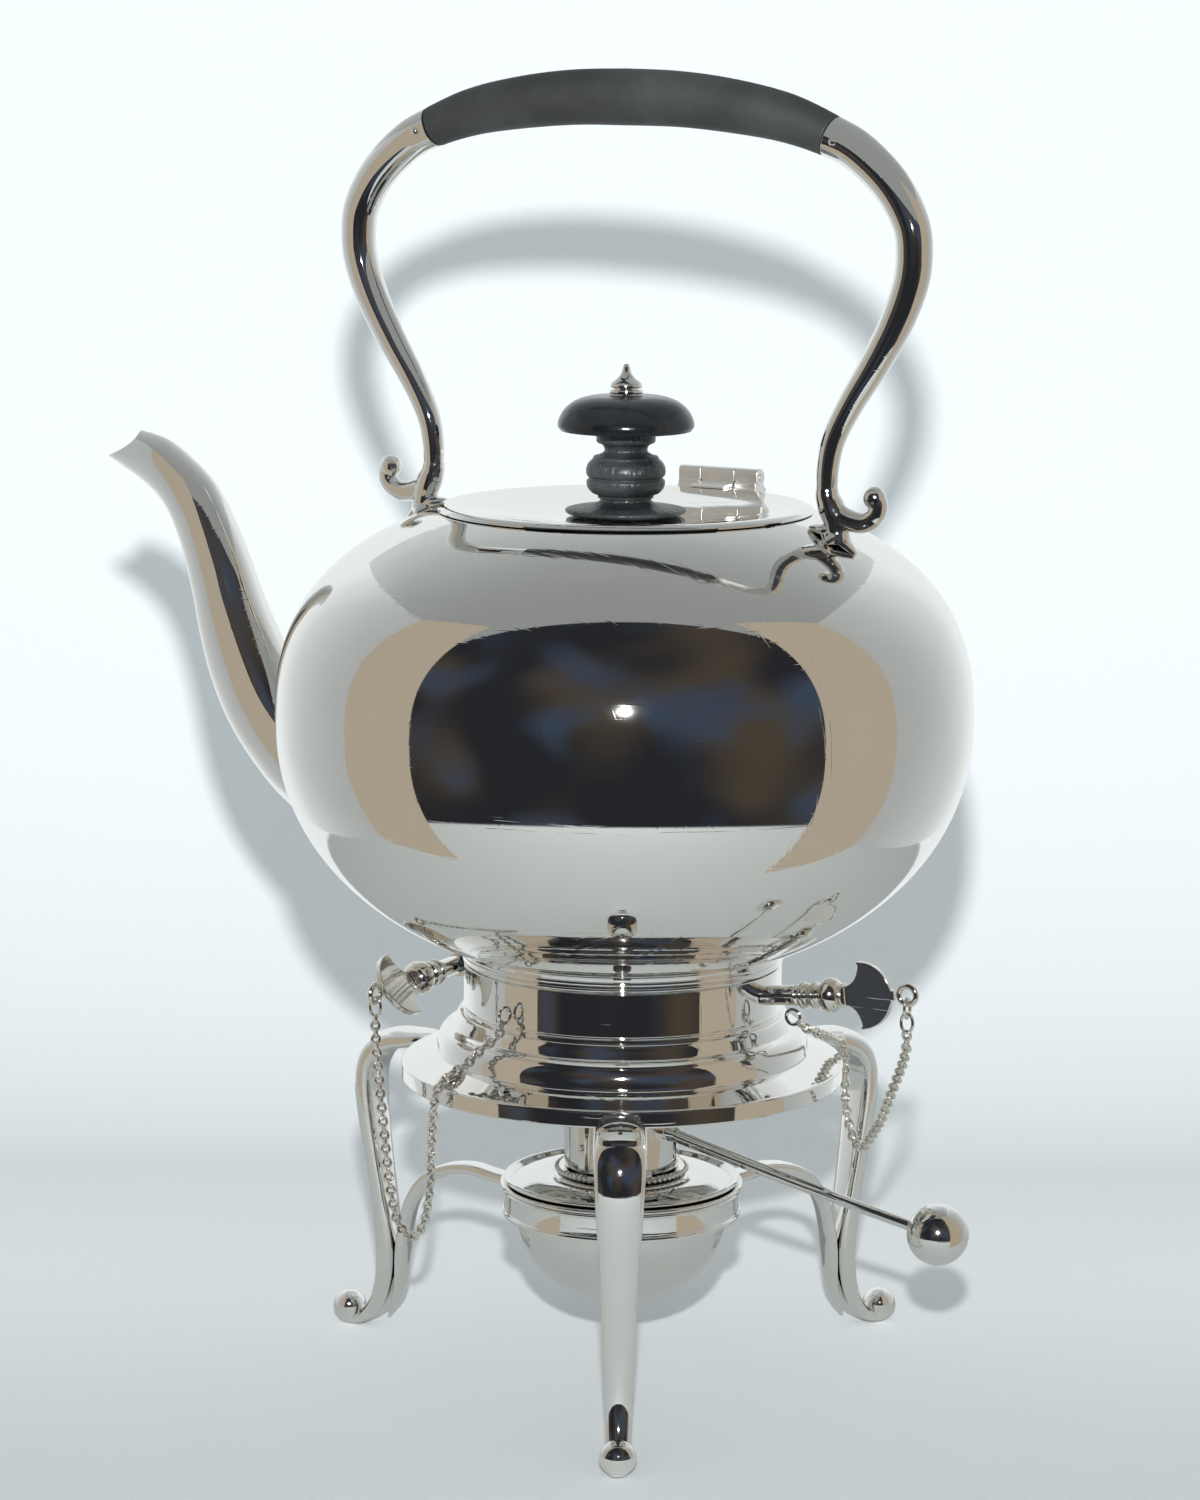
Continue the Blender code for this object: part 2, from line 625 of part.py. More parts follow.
def make_lamp():
    neck_base = FLANGE_BASE - FONT_NECK_H
    bowl = FONT_DEPTH - FONT_NECK_H
    arc = [pi / 2 * i / 6 for i in range(7)]
    outer = [(FLANGE_R, FLANGE_TOP), (FLANGE_R, FLANGE_BASE), (FONT_NECK_R, FLANGE_BASE)]
    outer += [(FONT_NECK_R * cos(t), neck_base - bowl * sin(t)) for t in arc[:-1]]
    outer += [(0, neck_base - bowl)]
    inner_r = FONT_NECK_R - FONT_WALL
    inner = [(inner_r * cos(t), neck_base - (bowl - FONT_WALL) * sin(t)) for t in arc[:-1]]
    profile = [*outer, (0, neck_base - bowl + FONT_WALL), *reversed(inner), (inner_r, FLANGE_TOP)]
    # The section is closed by the rim's flat top and turns about the axis as an open bowl
    part(turned_bowl("lamp_font", profile, MID_STEPS), "lamp", "silver_lamp")

    cap_edge = FLANGE_TOP + GAP
    rise_r = FLANGE_R - FLANGE_T
    profile = [(BURNER_BORE, CAP_TOP), (GALLERY_R, CAP_TOP - SHOULDER_CAP_RISE / 5),
               (rise_r, cap_edge + SHOULDER_CAP_T), (rise_r, cap_edge),
               (GALLERY_R, CAP_TOP - SHOULDER_CAP_T - SHOULDER_CAP_RISE / 5),
               (BURNER_BORE, CAP_TOP - SHOULDER_CAP_T)]
    part(turned("lamp_shoulder", profile, MID_STEPS), "lamp", "silver_lamp")

    middle = (GALLERY_BASE + GALLERY_TOP) / 2
    bead = GALLERY_T / 2
    profile = [(BURNER_BORE, GALLERY_TOP), (GALLERY_R - bead, GALLERY_TOP), (GALLERY_R, middle),
               (GALLERY_R - bead, GALLERY_BASE), (BURNER_BORE, GALLERY_BASE)]
    part(turned("burner_gallery", profile, MID_STEPS), "lamp", "silver_lamp")

    bore = BURNER_R - BURNER_WALL
    base = BURNER_TOP - BURNER_H - BURNER_DIP
    profile = [(BURNER_R, BURNER_TOP), (BURNER_R, base), (bore, base), (bore, BURNER_TOP)]
    part(turned("burner_tube", profile, MID_STEPS), "lamp", "silver_lamp")

    length = BURNER_H + BURNER_DIP + WICK_SHOW + WICK_DIP
    part(rod("burner_wick", bore - GAP, length, MID_STEPS), "lamp", "cotton_wick",
         (0, 0, base - WICK_DIP))


def turned_bowl(name, profile, steps):
    """Turn a profile that leaves the axis, goes round a wall and comes back to the axis."""
    start = next(i for i, (r, _) in enumerate(profile) if r == 0)
    rolled = [*profile[start + 1:], *profile[:start + 1]]
    return turned(name, list(reversed(rolled)) if rolled[0][0] > 0 else rolled, steps)


def round_place(r, azimuth, z):
    return (r * cos(azimuth), r * sin(azimuth), z)


def make_regulator():
    bore = SLEEVE_R - SLEEVE_WALL
    profile = [(SLEEVE_R, SLEEVE_TOP), (SLEEVE_R, SLEEVE_BASE), (bore, SLEEVE_BASE),
               (bore, SLEEVE_TOP)]
    sleeve = part(turned("regulator_sleeve", profile, MID_STEPS), "regulator", "silver_lamp")
    window_z = SLEEVE_BASE + SLEEVE_H / 8 + WINDOW_H / 2
    turn = Matrix.Rotation(WINDOW_AZ, 3, "Z")
    window = cutter(box("window_cutter", (SLEEVE_WALL + OVERRUN * 2, WINDOW_W, WINDOW_H)),
                    "regulator", round_place(SLEEVE_R - SLEEVE_WALL / 2, WINDOW_AZ, window_z), turn)
    combine(sleeve, window, "DIFFERENCE")

    turn = Matrix.Rotation(STRIP_AZ, 3, "Z")
    strip_r = SLEEVE_R + GAP + STRIP_T / 2
    strip_z = (SLEEVE_BASE + SLEEVE_TOP) / 2
    part(box("regulator_strip", (STRIP_T, STRIP_W, SLEEVE_H - GAP)), "regulator", "silver_lamp",
         round_place(strip_r, STRIP_AZ, strip_z), turn)
    screw_r = strip_r + STRIP_T / 2 + GAP
    part(rod("regulator_screw", SCREW_R, SCREW_H, SMALL_STEPS), "regulator", "silver_lamp",
         round_place(screw_r, STRIP_AZ, strip_z), turn @ Matrix.Rotation(pi / 2, 3, "Y"))

    ball_z = SLEEVE_TOP - LEVER_ROOT_R * 2 - LEVER_DROP
    run = LEVER_REACH - SLEEVE_R
    slope = asin(LEVER_DROP / hypot(run, LEVER_DROP))
    root = GAP + LEVER_ROOT_R * sin(slope)
    length = hypot(run, LEVER_DROP) - root / cos(slope) - LEVER_BALL_R - GAP
    turn = Matrix.Rotation(LEVER_AZ, 3, "Z") @ Matrix.Rotation(pi / 2 + slope, 3, "Y")
    root_place = round_place(SLEEVE_R + root, LEVER_AZ, ball_z + LEVER_DROP - root * tan(slope))
    part(rod("lever_rod", LEVER_ROOT_R, length, 8, LEVER_END_R), "regulator", "silver_lamp",
         root_place, turn)
    part(ball("lever_ball", LEVER_BALL_R, 16), "regulator", "silver_lamp",
         round_place(LEVER_REACH, LEVER_AZ, ball_z))


def body_curve(offset, steps):
    """The body's outline from the top of the axis to its foot, each side of the widest."""
    out = []
    for height, power, side in ((BODY_TOP_H, BODY_TOP_POWER, 1), (BODY_BASE_H, BODY_BASE_POWER, -1)):
        rows = []
        for i in range(steps + 1):
            t = pi / 2 * i / steps
            rows.append(((BODY_R + offset) * cos(t) ** (2 / power),
                         BODY_Z + side * (height + offset) * sin(t) ** (2 / power)))
        rows[-1] = (0, BODY_Z + side * (height + offset))
        out.append(rows)
    top, base = out
    return [*reversed(top), *base[1:]]


def make_body():
    outer = [(r, z) for r, z in body_curve(0, 8) if z < MOUTH_Z - BODY_WALL]
    inner = [(r, z) for r, z in body_curve(-BODY_WALL, 6) if z < MOUTH_Z - 3 * BODY_WALL]
    mouth_bore = MOUTH_R - BODY_WALL
    profile = [(0, inner[-1][1]), *reversed(inner[:-1]), (mouth_bore, MOUTH_Z - 2 * BODY_WALL),
               (mouth_bore, MOUTH_Z), (MOUTH_R, MOUTH_Z), *outer]
    body = part(turned("kettle_body", profile, BIG_STEPS), "kettle", "silver_kettle")

    spread = [(0, 0)]
    for i in range(STRAINER_COUNT):
        t = tau * i / STRAINER_COUNT
        spread.append((STRAINER_PITCH * cos(t), STRAINER_PITCH * sin(t)))
    for i, (y, z) in enumerate(spread):
        hole = cutter(rod(f"strainer_cutter_{i}", STRAINER_R, BODY_R / 3, 8), "kettle",
                      (-BODY_R, y, BODY_Z - STRAINER_DROP + z), Matrix.Rotation(pi / 2, 3, "Y"))
        combine(body, hole, "DIFFERENCE")

    space = turned("body_space_cutter", body_curve(GAP, 8), BIG_STEPS)
    return cutter(space, "kettle")


def make_foot():
    inner = FOOT_R - FOOT_WALL
    profile = [(FOOT_R, body_under(FOOT_R) - GAP), (FOOT_R, FOOT_BASE + FOOT_EDGE),
               (FOOT_R - FOOT_EDGE, FOOT_BASE), (inner, FOOT_BASE), (inner, body_under(inner) - GAP)]
    part(turned("kettle_foot", profile, BIG_STEPS), "kettle", "silver_kettle")

    # A tab hangs inside the collar where the lock pin points at it
    outer = (inner - GAP) * cos(asin(LOCK_TAB_W / 2 / (inner - GAP)))
    middle = outer - LOCK_TAB_T / 2
    top = body_under(outer - LOCK_TAB_T) - GAP - LOCK_LIFT
    base = FOOT_BASE - LOCK_TAB_DROP - LOCK_LIFT
    half = LOCK_TAB_W / 2
    sunk = (COLLAR_R - middle) * tan(LOCK_TILT)
    outline = [(half, base), (half, top), (-half, top), (-half, base)]
    hole = circle(PIN_R + GAP, SMALL_STEPS, centre=(0, -sunk))
    part(sheet("kettle_lock_tab", [outline, hole], LOCK_TAB_T), "kettle", "silver_kettle",
         (middle, 0, LOCK_LIFT), Matrix(((0, 0, 1), (1, 0, 0), (0, 1, 0))))


def circle(r, steps, start=0.0, sweep=tau, centre=(0, 0)):
    """Points round a circle, without the last one when it is whole."""
    count = steps if sweep == tau else steps + 1
    return [(centre[0] + r * cos(start + sweep * i / steps),
             centre[1] + r * sin(start + sweep * i / steps)) for i in range(count)]


def make_kettle_hinge():
    """Knuckle on the foot, lugs on the collar and the sleeve that guides the hinge pin."""
    upright = Matrix.Rotation(pi / 2, 3, "X")
    hole = circle(PIN_HOLE_R, SMALL_STEPS)
    strap_in = -(FOOT_R + GAP) - HINGE_X
    strap_out = strap_in - STRAP_T
    top_in = body_under(FOOT_R + GAP) - GAP - PIN_LIFT
    top_out = body_under(FOOT_R + GAP + STRAP_T) - GAP - PIN_LIFT
    outline = [(strap_in, top_in), (strap_out, top_out),
               *circle(KNUCKLE_R, SMALL_STEPS, radians(110), radians(290))]
    part(sheet("kettle_knuckle", [outline, hole], KNUCKLE_W), "kettle", "silver_kettle",
         (HINGE_X, 0, PIN_LIFT), upright)

    lug_in = HINGE_SETBACK - GAP
    outline = [(lug_in, -KNUCKLE_R), (lug_in, KNUCKLE_R),
               *circle(KNUCKLE_R, SMALL_STEPS, pi / 2, pi)]
    for side, y in (("front", -1), ("rear", 1)):
        part(sheet("hinge_lug_" + side, [outline, hole], LUG_W), "stand", "silver_stand",
             (HINGE_X, y * (LUG_INNER + LUG_W / 2), PIN_LIFT), upright)

    for name, place, turn in (
            ("hinge_sleeve", (HINGE_X, -(LUG_OUTER + GAP), PIN_LIFT), hinge_pin_frame()),
            ("lock_sleeve", lock_place(LOCK_SLEEVE_START), lock_frame())):
        profile = [(PIN_SLEEVE_R, PIN_SLEEVE_L), (PIN_SLEEVE_R, 0), (PIN_HOLE_R, 0),
                   (PIN_HOLE_R, PIN_SLEEVE_L)]
        part(turned(name, profile, SMALL_STEPS), "stand", "silver_stand", place, turn)


def hinge_pin_frame():
    """Turn that takes local Z along the hinge pin's axis, away from the stand, and X upwards."""
    return Matrix.Rotation(pi / 2, 3, "X") @ Matrix.Rotation(pi / 2, 3, "Z")


def lock_place(station):
    return (COLLAR_R + station * cos(LOCK_TILT), 0, LOCK_LIFT + station * sin(LOCK_TILT))


def crescent_outline():
    """Half-moon thumb piece along its pin: neck, two horns and a tab at the eye."""
    centre = CRESCENT_CENTRE
    outer = circle(CRESCENT_R, 12, -pi / 2, pi, (centre, 0))
    horn = centre
    neck = CRESCENT_START
    upper = []
    for i in range(1, 5):
        t = pi / 2 * i / 4
        upper.append((neck + (horn - neck) * cos(t),
                      CRESCENT_R - (CRESCENT_R - CRESCENT_NECK_R) * sin(t)))
    lower = [(x, -y) for x, y in reversed(upper)]
    tab = centre + CRESCENT_R * cos(asin(CRESCENT_TAB_R / CRESCENT_R))
    points = [(x, y) for x, y in outer if abs(y) > CRESCENT_TAB_R * 1.01]
    split = len(points) // 2
    nose = [(tab, -CRESCENT_TAB_R), (CRESCENT_END, -CRESCENT_TAB_R), (CRESCENT_END, CRESCENT_TAB_R),
            (tab, CRESCENT_TAB_R)]
    return [*points[:split], *nose, *points[split:], *upper, *lower]


def make_pin(name, frame, place, tip, roll, links):
    """One pin with its crescent, eye and jump link; place(station) gives points on its axis."""
    boss = PIN_BOSS_R
    profile = [(0, DISC_END), (PIN_DISC_R, DISC_END), (PIN_DISC_R, BALL_END)]
    half = PIN_BALL_L / 2
    for i in range(7):
        t = radians(62) * (1 - i / 3)
        profile.append((PIN_BALL_R * cos(t), BALL_END - half + half * t / radians(62)))
    profile += [(boss * 0.8, BOSS_END), (boss, BOSS_END - PIN_BOSS_L * 0.15),
                (boss * 0.86, BOSS_END - PIN_BOSS_L * 0.5), (boss, BOSS_END - PIN_BOSS_L * 0.85),
                (boss * 0.86, GAP), (PIN_R, GAP), (PIN_R, tip + PIN_R / 2), (PIN_R / 2, tip),
                (0, tip)]
    part(turned(name, profile, SMALL_STEPS), name, "silver_pin", place(0), frame)

    # The outline's x runs along the pin, so a quarter turn brings it onto the pin's local Z
    flat = frame @ Matrix.Rotation(-pi / 2, 3, "Y")
    roll_turn = frame @ Matrix.Rotation(roll, 3, "Z") @ Matrix.Rotation(-pi / 2, 3, "Y")
    part(sheet(name + "_crescent", [crescent_outline()], CRESCENT_T), name, "silver_pin",
         place(0), roll_turn @ Matrix.Rotation(pi / 2, 3, "X"))
    eye_turn = flat @ Matrix.Rotation(pi / 2, 3, "X")
    part(torus(name + "_eye", EYE_R, EYE_WIRE_R), name, "silver_pin", place(EYE_STATION), eye_turn)
    x, y, z = place(EYE_STATION)
    axis = frame @ Vector((0, 0, 1))
    heading = Vector((axis.x, axis.y, 0)).to_track_quat("Z", "Y").to_matrix()
    for i in range(links):
        link_piece = torus(f"{name}_link_{i + 1}", LINK_R, LINK_WIRE_R)
        for vertex in link_piece.data.vertices:
            vertex.co.x *= LINK_HALF_W / LINK_R
        part(link_piece, name, "silver_pin", (x, y, z - LINK_DROP - i * LINK_PITCH),
             heading @ Matrix.Rotation(i * pi / 2, 3, "Y"))


def hinge_place(station):
    return (HINGE_X, -(HINGE_PIN_STATION + station), PIN_LIFT)


def lock_pin_place(station):
    return lock_place(LOCK_PIN_STATION + station)


def make_pins():
    tip = -(HINGE_PIN_STATION + LUG_OUTER + PIN_TIP)
    make_pin("hinge_pin", hinge_pin_frame(), hinge_place, tip, CRESCENT_ROLL, HINGE_PIN_LINKS)
    # The lock pin is drawn back until its tip is flush inside the collar
    tip = -(LOCK_PIN_STATION + COLLAR_WALL * 0.8)
    make_pin("lock_pin", lock_frame(), lock_pin_place, tip, 0.0, LOCK_PIN_LINKS)


# Chain routes in millimetres from the stand's axis, chosen along the hanging curve
HINGE_CHAIN_ROUTE = (
    (-46.3, -47.1, 92.6), (-45.2, -47.3, 82.0), (-43.6, -47.7, 70.0), (-41.8, -48.3, 58.0),
    (-38.9, -49.3, 48.0), (-34.0, -51.0, 44.0), (-29.0, -52.7, 48.0), (-26.3, -53.8, 57.0),
    (-25.2, -54.6, 68.0), (-24.2, -55.3, 78.0), (-22.9, -55.6, 84.6), (-20.6, -53.4, 88.6),
    (-17.6, -50.0, 91.2), (-14.6, -47.6, 95.0), (-12.0, -45.9, 97.4), (-10.95, -44.85, 99.0),
)
LOCK_CHAIN_ROUTE = (
    (54.2, 0.9, 98.6), (55.2, 5.0, 96.8), (53.8, 14.0, 93.8), (50.6, 23.0, 91.0),
    (47.2, 31.5, 89.0), (45.9, 37.0, 86.6), (46.0, 38.6, 79.0), (46.8, 37.4, 71.5),
    (49.2, 34.9, 65.6), (52.8, 31.3, 61.8), (56.3, 28.5, 61.6), (60.1, 25.3, 65.6),
    (66.3, 18.5, 72.6), (71.6, 12.5, 80.6), (76.0, 7.8, 87.6), (79.8, 3.2, 93.4), (81.7, 0.6, 97.6),
)


def links_drop(links):
    """Drop from an eye's centre to the top of the chain under its links."""
    return LINK_DROP + (links - 1) * LINK_PITCH + LINK_R + LINK_WIRE_R + GAP


def make_chain(name, start, route, end):
    """A chain's plain tube, from a point over a link's or an anchor's edge to the other."""
    points = [start, *[(x * MM, y * MM, z * MM) for x, y, z in route], end]
    rows = [(*point, CHAIN_R) for point in smooth(points, 2)]
    part(tube(name, rows, 1), "stand", "silver_pin")


def make_chains():
    anchor_r = COLLAR_R + GAP + ANCHOR_WIRE_R + ANCHOR_R
    anchor_z = COLLAR_TOP - HINGE_ANCHOR_DROP
    turn = Matrix.Rotation(HINGE_ANCHOR_AZ, 3, "Z") @ Matrix.Rotation(pi / 2, 3, "X")
    part(torus("hinge_chain_eye", ANCHOR_R, ANCHOR_WIRE_R, 12, 6), "stand", "silver_stand",
         round_place(anchor_r, HINGE_ANCHOR_AZ, anchor_z), turn)
    reach = ANCHOR_R + ANCHOR_WIRE_R + GAP
    x, y, z = hinge_place(EYE_STATION)
    start = (x, y, z - links_drop(HINGE_PIN_LINKS))
    make_chain("hinge_pin_chain", start, HINGE_CHAIN_ROUTE,
               round_place(anchor_r + reach * sin(ANCHOR_LEAN), HINGE_ANCHOR_AZ,
                           anchor_z - reach * cos(ANCHOR_LEAN)))

    x, y, z = lock_place(LOCK_PIN_STATION - ANCHOR_R)
    anchor_z = z - PIN_SLEEVE_R - 2 * GAP - ANCHOR_WIRE_R - ANCHOR_R
    part(torus("lock_chain_eye", ANCHOR_R, ANCHOR_WIRE_R, 12, 6), "stand", "silver_stand",
         (x, y, anchor_z), Matrix.Rotation(pi / 2, 3, "X"))
    end_x, end_y, end_z = lock_pin_place(EYE_STATION)
    start = (x + reach * sin(LOCK_EYE_LEAN), y, anchor_z - reach * cos(LOCK_EYE_LEAN))
    make_chain("lock_pin_chain", start, LOCK_CHAIN_ROUTE,
               (end_x, end_y, end_z - links_drop(LOCK_PIN_LINKS)))


# Spout: upper edge x and height shares, lower edge x and height shares, half width share
SPOUT_SHARES = (
    (0.933, 1.000, 1.000, 0.887, 0.27), (0.883, 0.970, 0.926, 0.793, 0.35),
    (0.831, 0.889, 0.880, 0.706, 0.41), (0.790, 0.798, 0.854, 0.597, 0.44),
    (0.758, 0.672, 0.834, 0.468, 0.48), (0.727, 0.520, 0.817, 0.314, 0.52),
    (0.698, 0.350, 0.804, 0.170, 0.565), (0.659, 0.168, 0.782, 0.006, 0.635),
    (0.616, 0.006, 0.7435, -0.172, 0.72), (0.567, -0.118, 0.688, -0.335, 0.81),
    (0.517, -0.205, 0.623, -0.471, 0.905), (0.468, -0.267, 0.542, -0.567, 0.975),
    (0.409, -0.315, 0.440, -0.584, 1.0),
)
SPOUT_SIDES = 14


def make_spout(body_space):
    rings = []
    for up_x, up_z, low_x, low_z, w in SPOUT_SHARES:
        upper = Vector((-up_x * SPOUT_REACH, 0, BODY_Z + up_z * SPOUT_RISE))
        lower = Vector((-low_x * SPOUT_REACH, 0, BODY_Z + low_z * SPOUT_RISE))
        centre = (upper + lower) / 2
        rise = (upper - lower) / 2
        side = Vector((0, w * SPOUT_W / 2, 0))
        rings.append([centre + rise * cos(tau * i / SPOUT_SIDES) + side * sin(tau * i / SPOUT_SIDES)
                      for i in range(SPOUT_SIDES)])
    spout = part(loft("spout", rings, capped=False), "kettle", "silver_kettle")
    wall = spout.modifiers.new("Wall", "SOLIDIFY")
    wall.thickness = SPOUT_WALL
    wall.offset = -1
    wall.use_even_offset = True
    combine(spout, body_space, "DIFFERENCE")


def handle_path():
    """Half of the handle from the crown of the grip to the foot, as (x, z, radius) rows, and
    the index of the row where the grip meets its metal arm."""
    climb = HANDLE_TOP - HANDLE_FOOT_TOP
    rows = [(x * HANDLE_REACH, HANDLE_FOOT_TOP + z * climb, r * GRIP_T / 2) for x, z, r in GRIP_SHARES]
    rows += [(x * HANDLE_REACH, HANDLE_FOOT_TOP + z * climb, r * HANDLE_T / 2)
             for x, z, r in HANDLE_SHARES]
    per_span = 2
    return smooth(rows, per_span), len(GRIP_SHARES) * per_span


def make_handle(body_space):
    path, joint = handle_path()
    grip = [(x, 0, z, r) for x, z, r in path[:joint + 1]]
    mirrored = [(-x, y, z, r) for x, y, z, r in reversed(grip[1:])]
    part(tube("handle_grip", [*mirrored, *grip], 4), "kettle", "matt_grip")

    x0, z0, r0 = path[joint]
    x1, z1, _ = path[joint + 1]
    share = HANDLE_JOINT_GAP / hypot(x1 - x0, z1 - z0)
    start = (x0 + (x1 - x0) * share, z0 + (z1 - z0) * share, r0)
    arm = [start, *path[joint + 1:-1], (HANDLE_FOOT_X, HANDLE_FOOT_TOP + GAP, path[-1][2])]
    back = RIVET_SETBACK / hypot(x1 - x0, z1 - z0)
    rivet_x = x0 + (x1 - x0) * back
    rivet_z = z0 + (z1 - z0) * back
    for side, sign in (("spout", -1), ("rear", 1)):
        rows = [(sign * x, 0, z, r) for x, z, r in arm]
        part(tube("handle_arm_" + side, rows, 3), "kettle", "silver_kettle")
        part(rod("grip_rivet_" + side, RIVET_R, RIVET_H, 8), "kettle", "silver_kettle",
             (sign * rivet_x, -r0 - GAP, rivet_z), Matrix.Rotation(pi / 2, 3, "X"))
        make_handle_foot(side, sign, body_space)


# Scroll at the handle's foot: outward share, height share of the foot, thickness share
SCROLL_SHARES = ((0.0, 0.86, 0.85), (0.12, 0.58, 1.0), (0.42, 0.40, 0.95), (0.78, 0.47, 0.82),
                 (0.98, 0.72, 0.75), (0.98, 0.96, 0.78), (0.85, 1.05, 0.84))


def make_handle_foot(side, sign, body_space):
    base = HANDLE_FOOT_TOP - HANDLE_FOOT_H
    rows = [(sign * (HANDLE_FOOT_X + x * SCROLL_REACH), 0, base + z * HANDLE_FOOT_H, t * SCROLL_T / 2)
            for x, z, t in SCROLL_SHARES]
    scroll = cutter(tube("scroll_" + side + "_tool", smooth(rows, 2), 2), "kettle")
    scroll = as_mesh(scroll)
    scroll.hide_render = True
    scroll.display_type = "WIRE"
    height = HANDLE_FOOT_H
    sunk = STEM_BASE_R * 0.9
    profile = [(0, height), (STEM_R, height), (STEM_R * 0.85, height * 0.7),
               (STEM_R * 0.8, height * 0.5), (STEM_R * 1.2, height * 0.33),
               (STEM_BASE_R * 0.8, height * 0.16), (STEM_BASE_R, height * 0.06),
               (STEM_BASE_R, -sunk), (0, -sunk)]
    foot = turned("handle_foot_" + side, profile, SMALL_STEPS)
    part(foot, "kettle", "silver_kettle", (sign * HANDLE_FOOT_X, 0, base))
    combine(foot, scroll, "UNION")
    combine(foot, body_space, "DIFFERENCE")


def make_lid():
    """A dished lid: a flat rim, a step down to the field, and a bezel ring under the rim."""
    field = LID_EDGE_TOP - LID_SINK
    step = LID_FIELD_R + LID_T
    profile = [(LID_HOLE_R, LID_TOP), (KNOB_BASE_R, LID_TOP), (LID_FIELD_R - LID_T, field),
               (LID_FIELD_R, LID_EDGE_TOP), (LID_R - LID_T / 2, LID_EDGE_TOP),
               (LID_R, LID_EDGE_TOP - LID_T / 2), (LID_R, LID_BASE), (step, LID_BASE),
               (step - LID_T / 2, field - LID_T), (KNOB_BASE_R, LID_TOP - LID_T),
               (LID_HOLE_R, LID_TOP - LID_T)]
    part(turned("lid", profile, BIG_STEPS), "lid", "silver_kettle")

    outer = MOUTH_R - BODY_WALL - BEZEL_CLEAR
    inner = outer - BEZEL_WALL
    top = field - LID_T - GAP
    profile = [(outer, top), (outer, top - BEZEL_H), (inner, top - BEZEL_H), (inner, top)]
    part(turned("lid_bezel", profile, BIG_STEPS), "lid", "silver_kettle")


def make_lid_hinge(body_space):
    """Bracket on the body's shoulder, leaf on the lid and the pin through both."""
    across = Matrix(((0, 0, 1), (1, 0, 0), (0, 1, 0)))
    hole = circle(LID_PIN_R + RUN, SMALL_STEPS)
    centre = (0, LID_HINGE_Y, LID_HINGE_Z)
    drop = LID_HINGE_Z - body_over(LID_HINGE_Y) + BARREL_R
    front = LID_R + GAP * 2 - LID_HINGE_Y
    outline = [(BARREL_R, 0), *circle(BARREL_R, 8, 0, pi)[1:], (front, -BARREL_R), (front, -drop),
               (BARREL_R * 1.4, -drop), (BARREL_R * 1.4, -BARREL_R * 1.5)]
    bracket = as_mesh(part(sheet("lid_hinge_bracket", [outline, hole], LID_HINGE_W), "kettle",
                           "silver_kettle", centre, across))
    slot_h = BARREL_R * 2 + GAP * 2
    slot = cutter(box("lid_hinge_slot_cutter", (LID_KNUCKLE_W + GAP * 2, LID_HINGE_SETBACK * 4,
                                                slot_h + OVERRUN)), "kettle",
                  (0, LID_HINGE_Y, LID_HINGE_Z - slot_h / 2 + (slot_h + OVERRUN) / 2))
    combine(bracket, slot, "DIFFERENCE")
    combine(bracket, body_space, "DIFFERENCE")

    leaf_base = LID_EDGE_TOP + GAP - LID_HINGE_Z
    leaf_top = leaf_base + LID_LEAF_T
    reach = -(LID_HINGE_SETBACK + LID_LEAF_L)
    start = asin(leaf_top / BARREL_R) if abs(leaf_top) < BARREL_R else -pi / 4
    outline = [*circle(BARREL_R, 10, pi - start + tau, -(tau - radians(40))),
               (-BARREL_R * 0.8, leaf_base), (reach, leaf_base), (reach, leaf_top)]
    part(sheet("lid_hinge_leaf", [outline, hole], LID_KNUCKLE_W), "lid", "silver_kettle",
         centre, across)

    part(rod("lid_hinge_pin", LID_PIN_R, LID_HINGE_W, SMALL_STEPS), "kettle", "silver_kettle",
         (-LID_HINGE_W / 2, LID_HINGE_Y, LID_HINGE_Z), Matrix.Rotation(pi / 2, 3, "Y"))


# Knob outlines: share of the piece's radius, share of its height from its base
KNOB_BASE_SHARES = ((0.42, 1.0), (0.46, 0.82), (0.60, 0.64), (0.82, 0.52), (0.97, 0.40), (1.0, 0.30),
                    (0.97, 0.12), (0.85, 0.0))
KNOB_BODY_SHARES = (
    (0.75, 1.0), (0.74, 0.86), (0.55, 0.80), (0.56, 0.71), (0.80, 0.62), (0.95, 0.53), (1.0, 0.42),
    (0.93, 0.28), (0.94, 0.14), (0.70, 0.0),
)
KNOB_CAP_SHARES = ((0.26, 1.0), (0.54, 0.955), (0.76, 0.82), (0.91, 0.59), (0.985, 0.34), (1.0, 0.18),
                   (0.975, 0.085), (0.44, 0.0))
FINIAL_SHARES = ((0.10, 1.0), (0.16, 0.90), (0.24, 0.66), (0.60, 0.44), (0.93, 0.30), (0.95, 0.22),
                 (0.80, 0.17), (1.0, 0.13), (1.0, 0.0))


def knob_piece(name, shares, r, height, base, material):
    profile = [(LID_HOLE_R, base + shares[0][1] * height)]
    profile += [(share_r * r, base + share_z * height) for share_r, share_z in shares]
    profile.append((LID_HOLE_R, base))
    part(turned(name, profile, MID_STEPS), "lid", material)


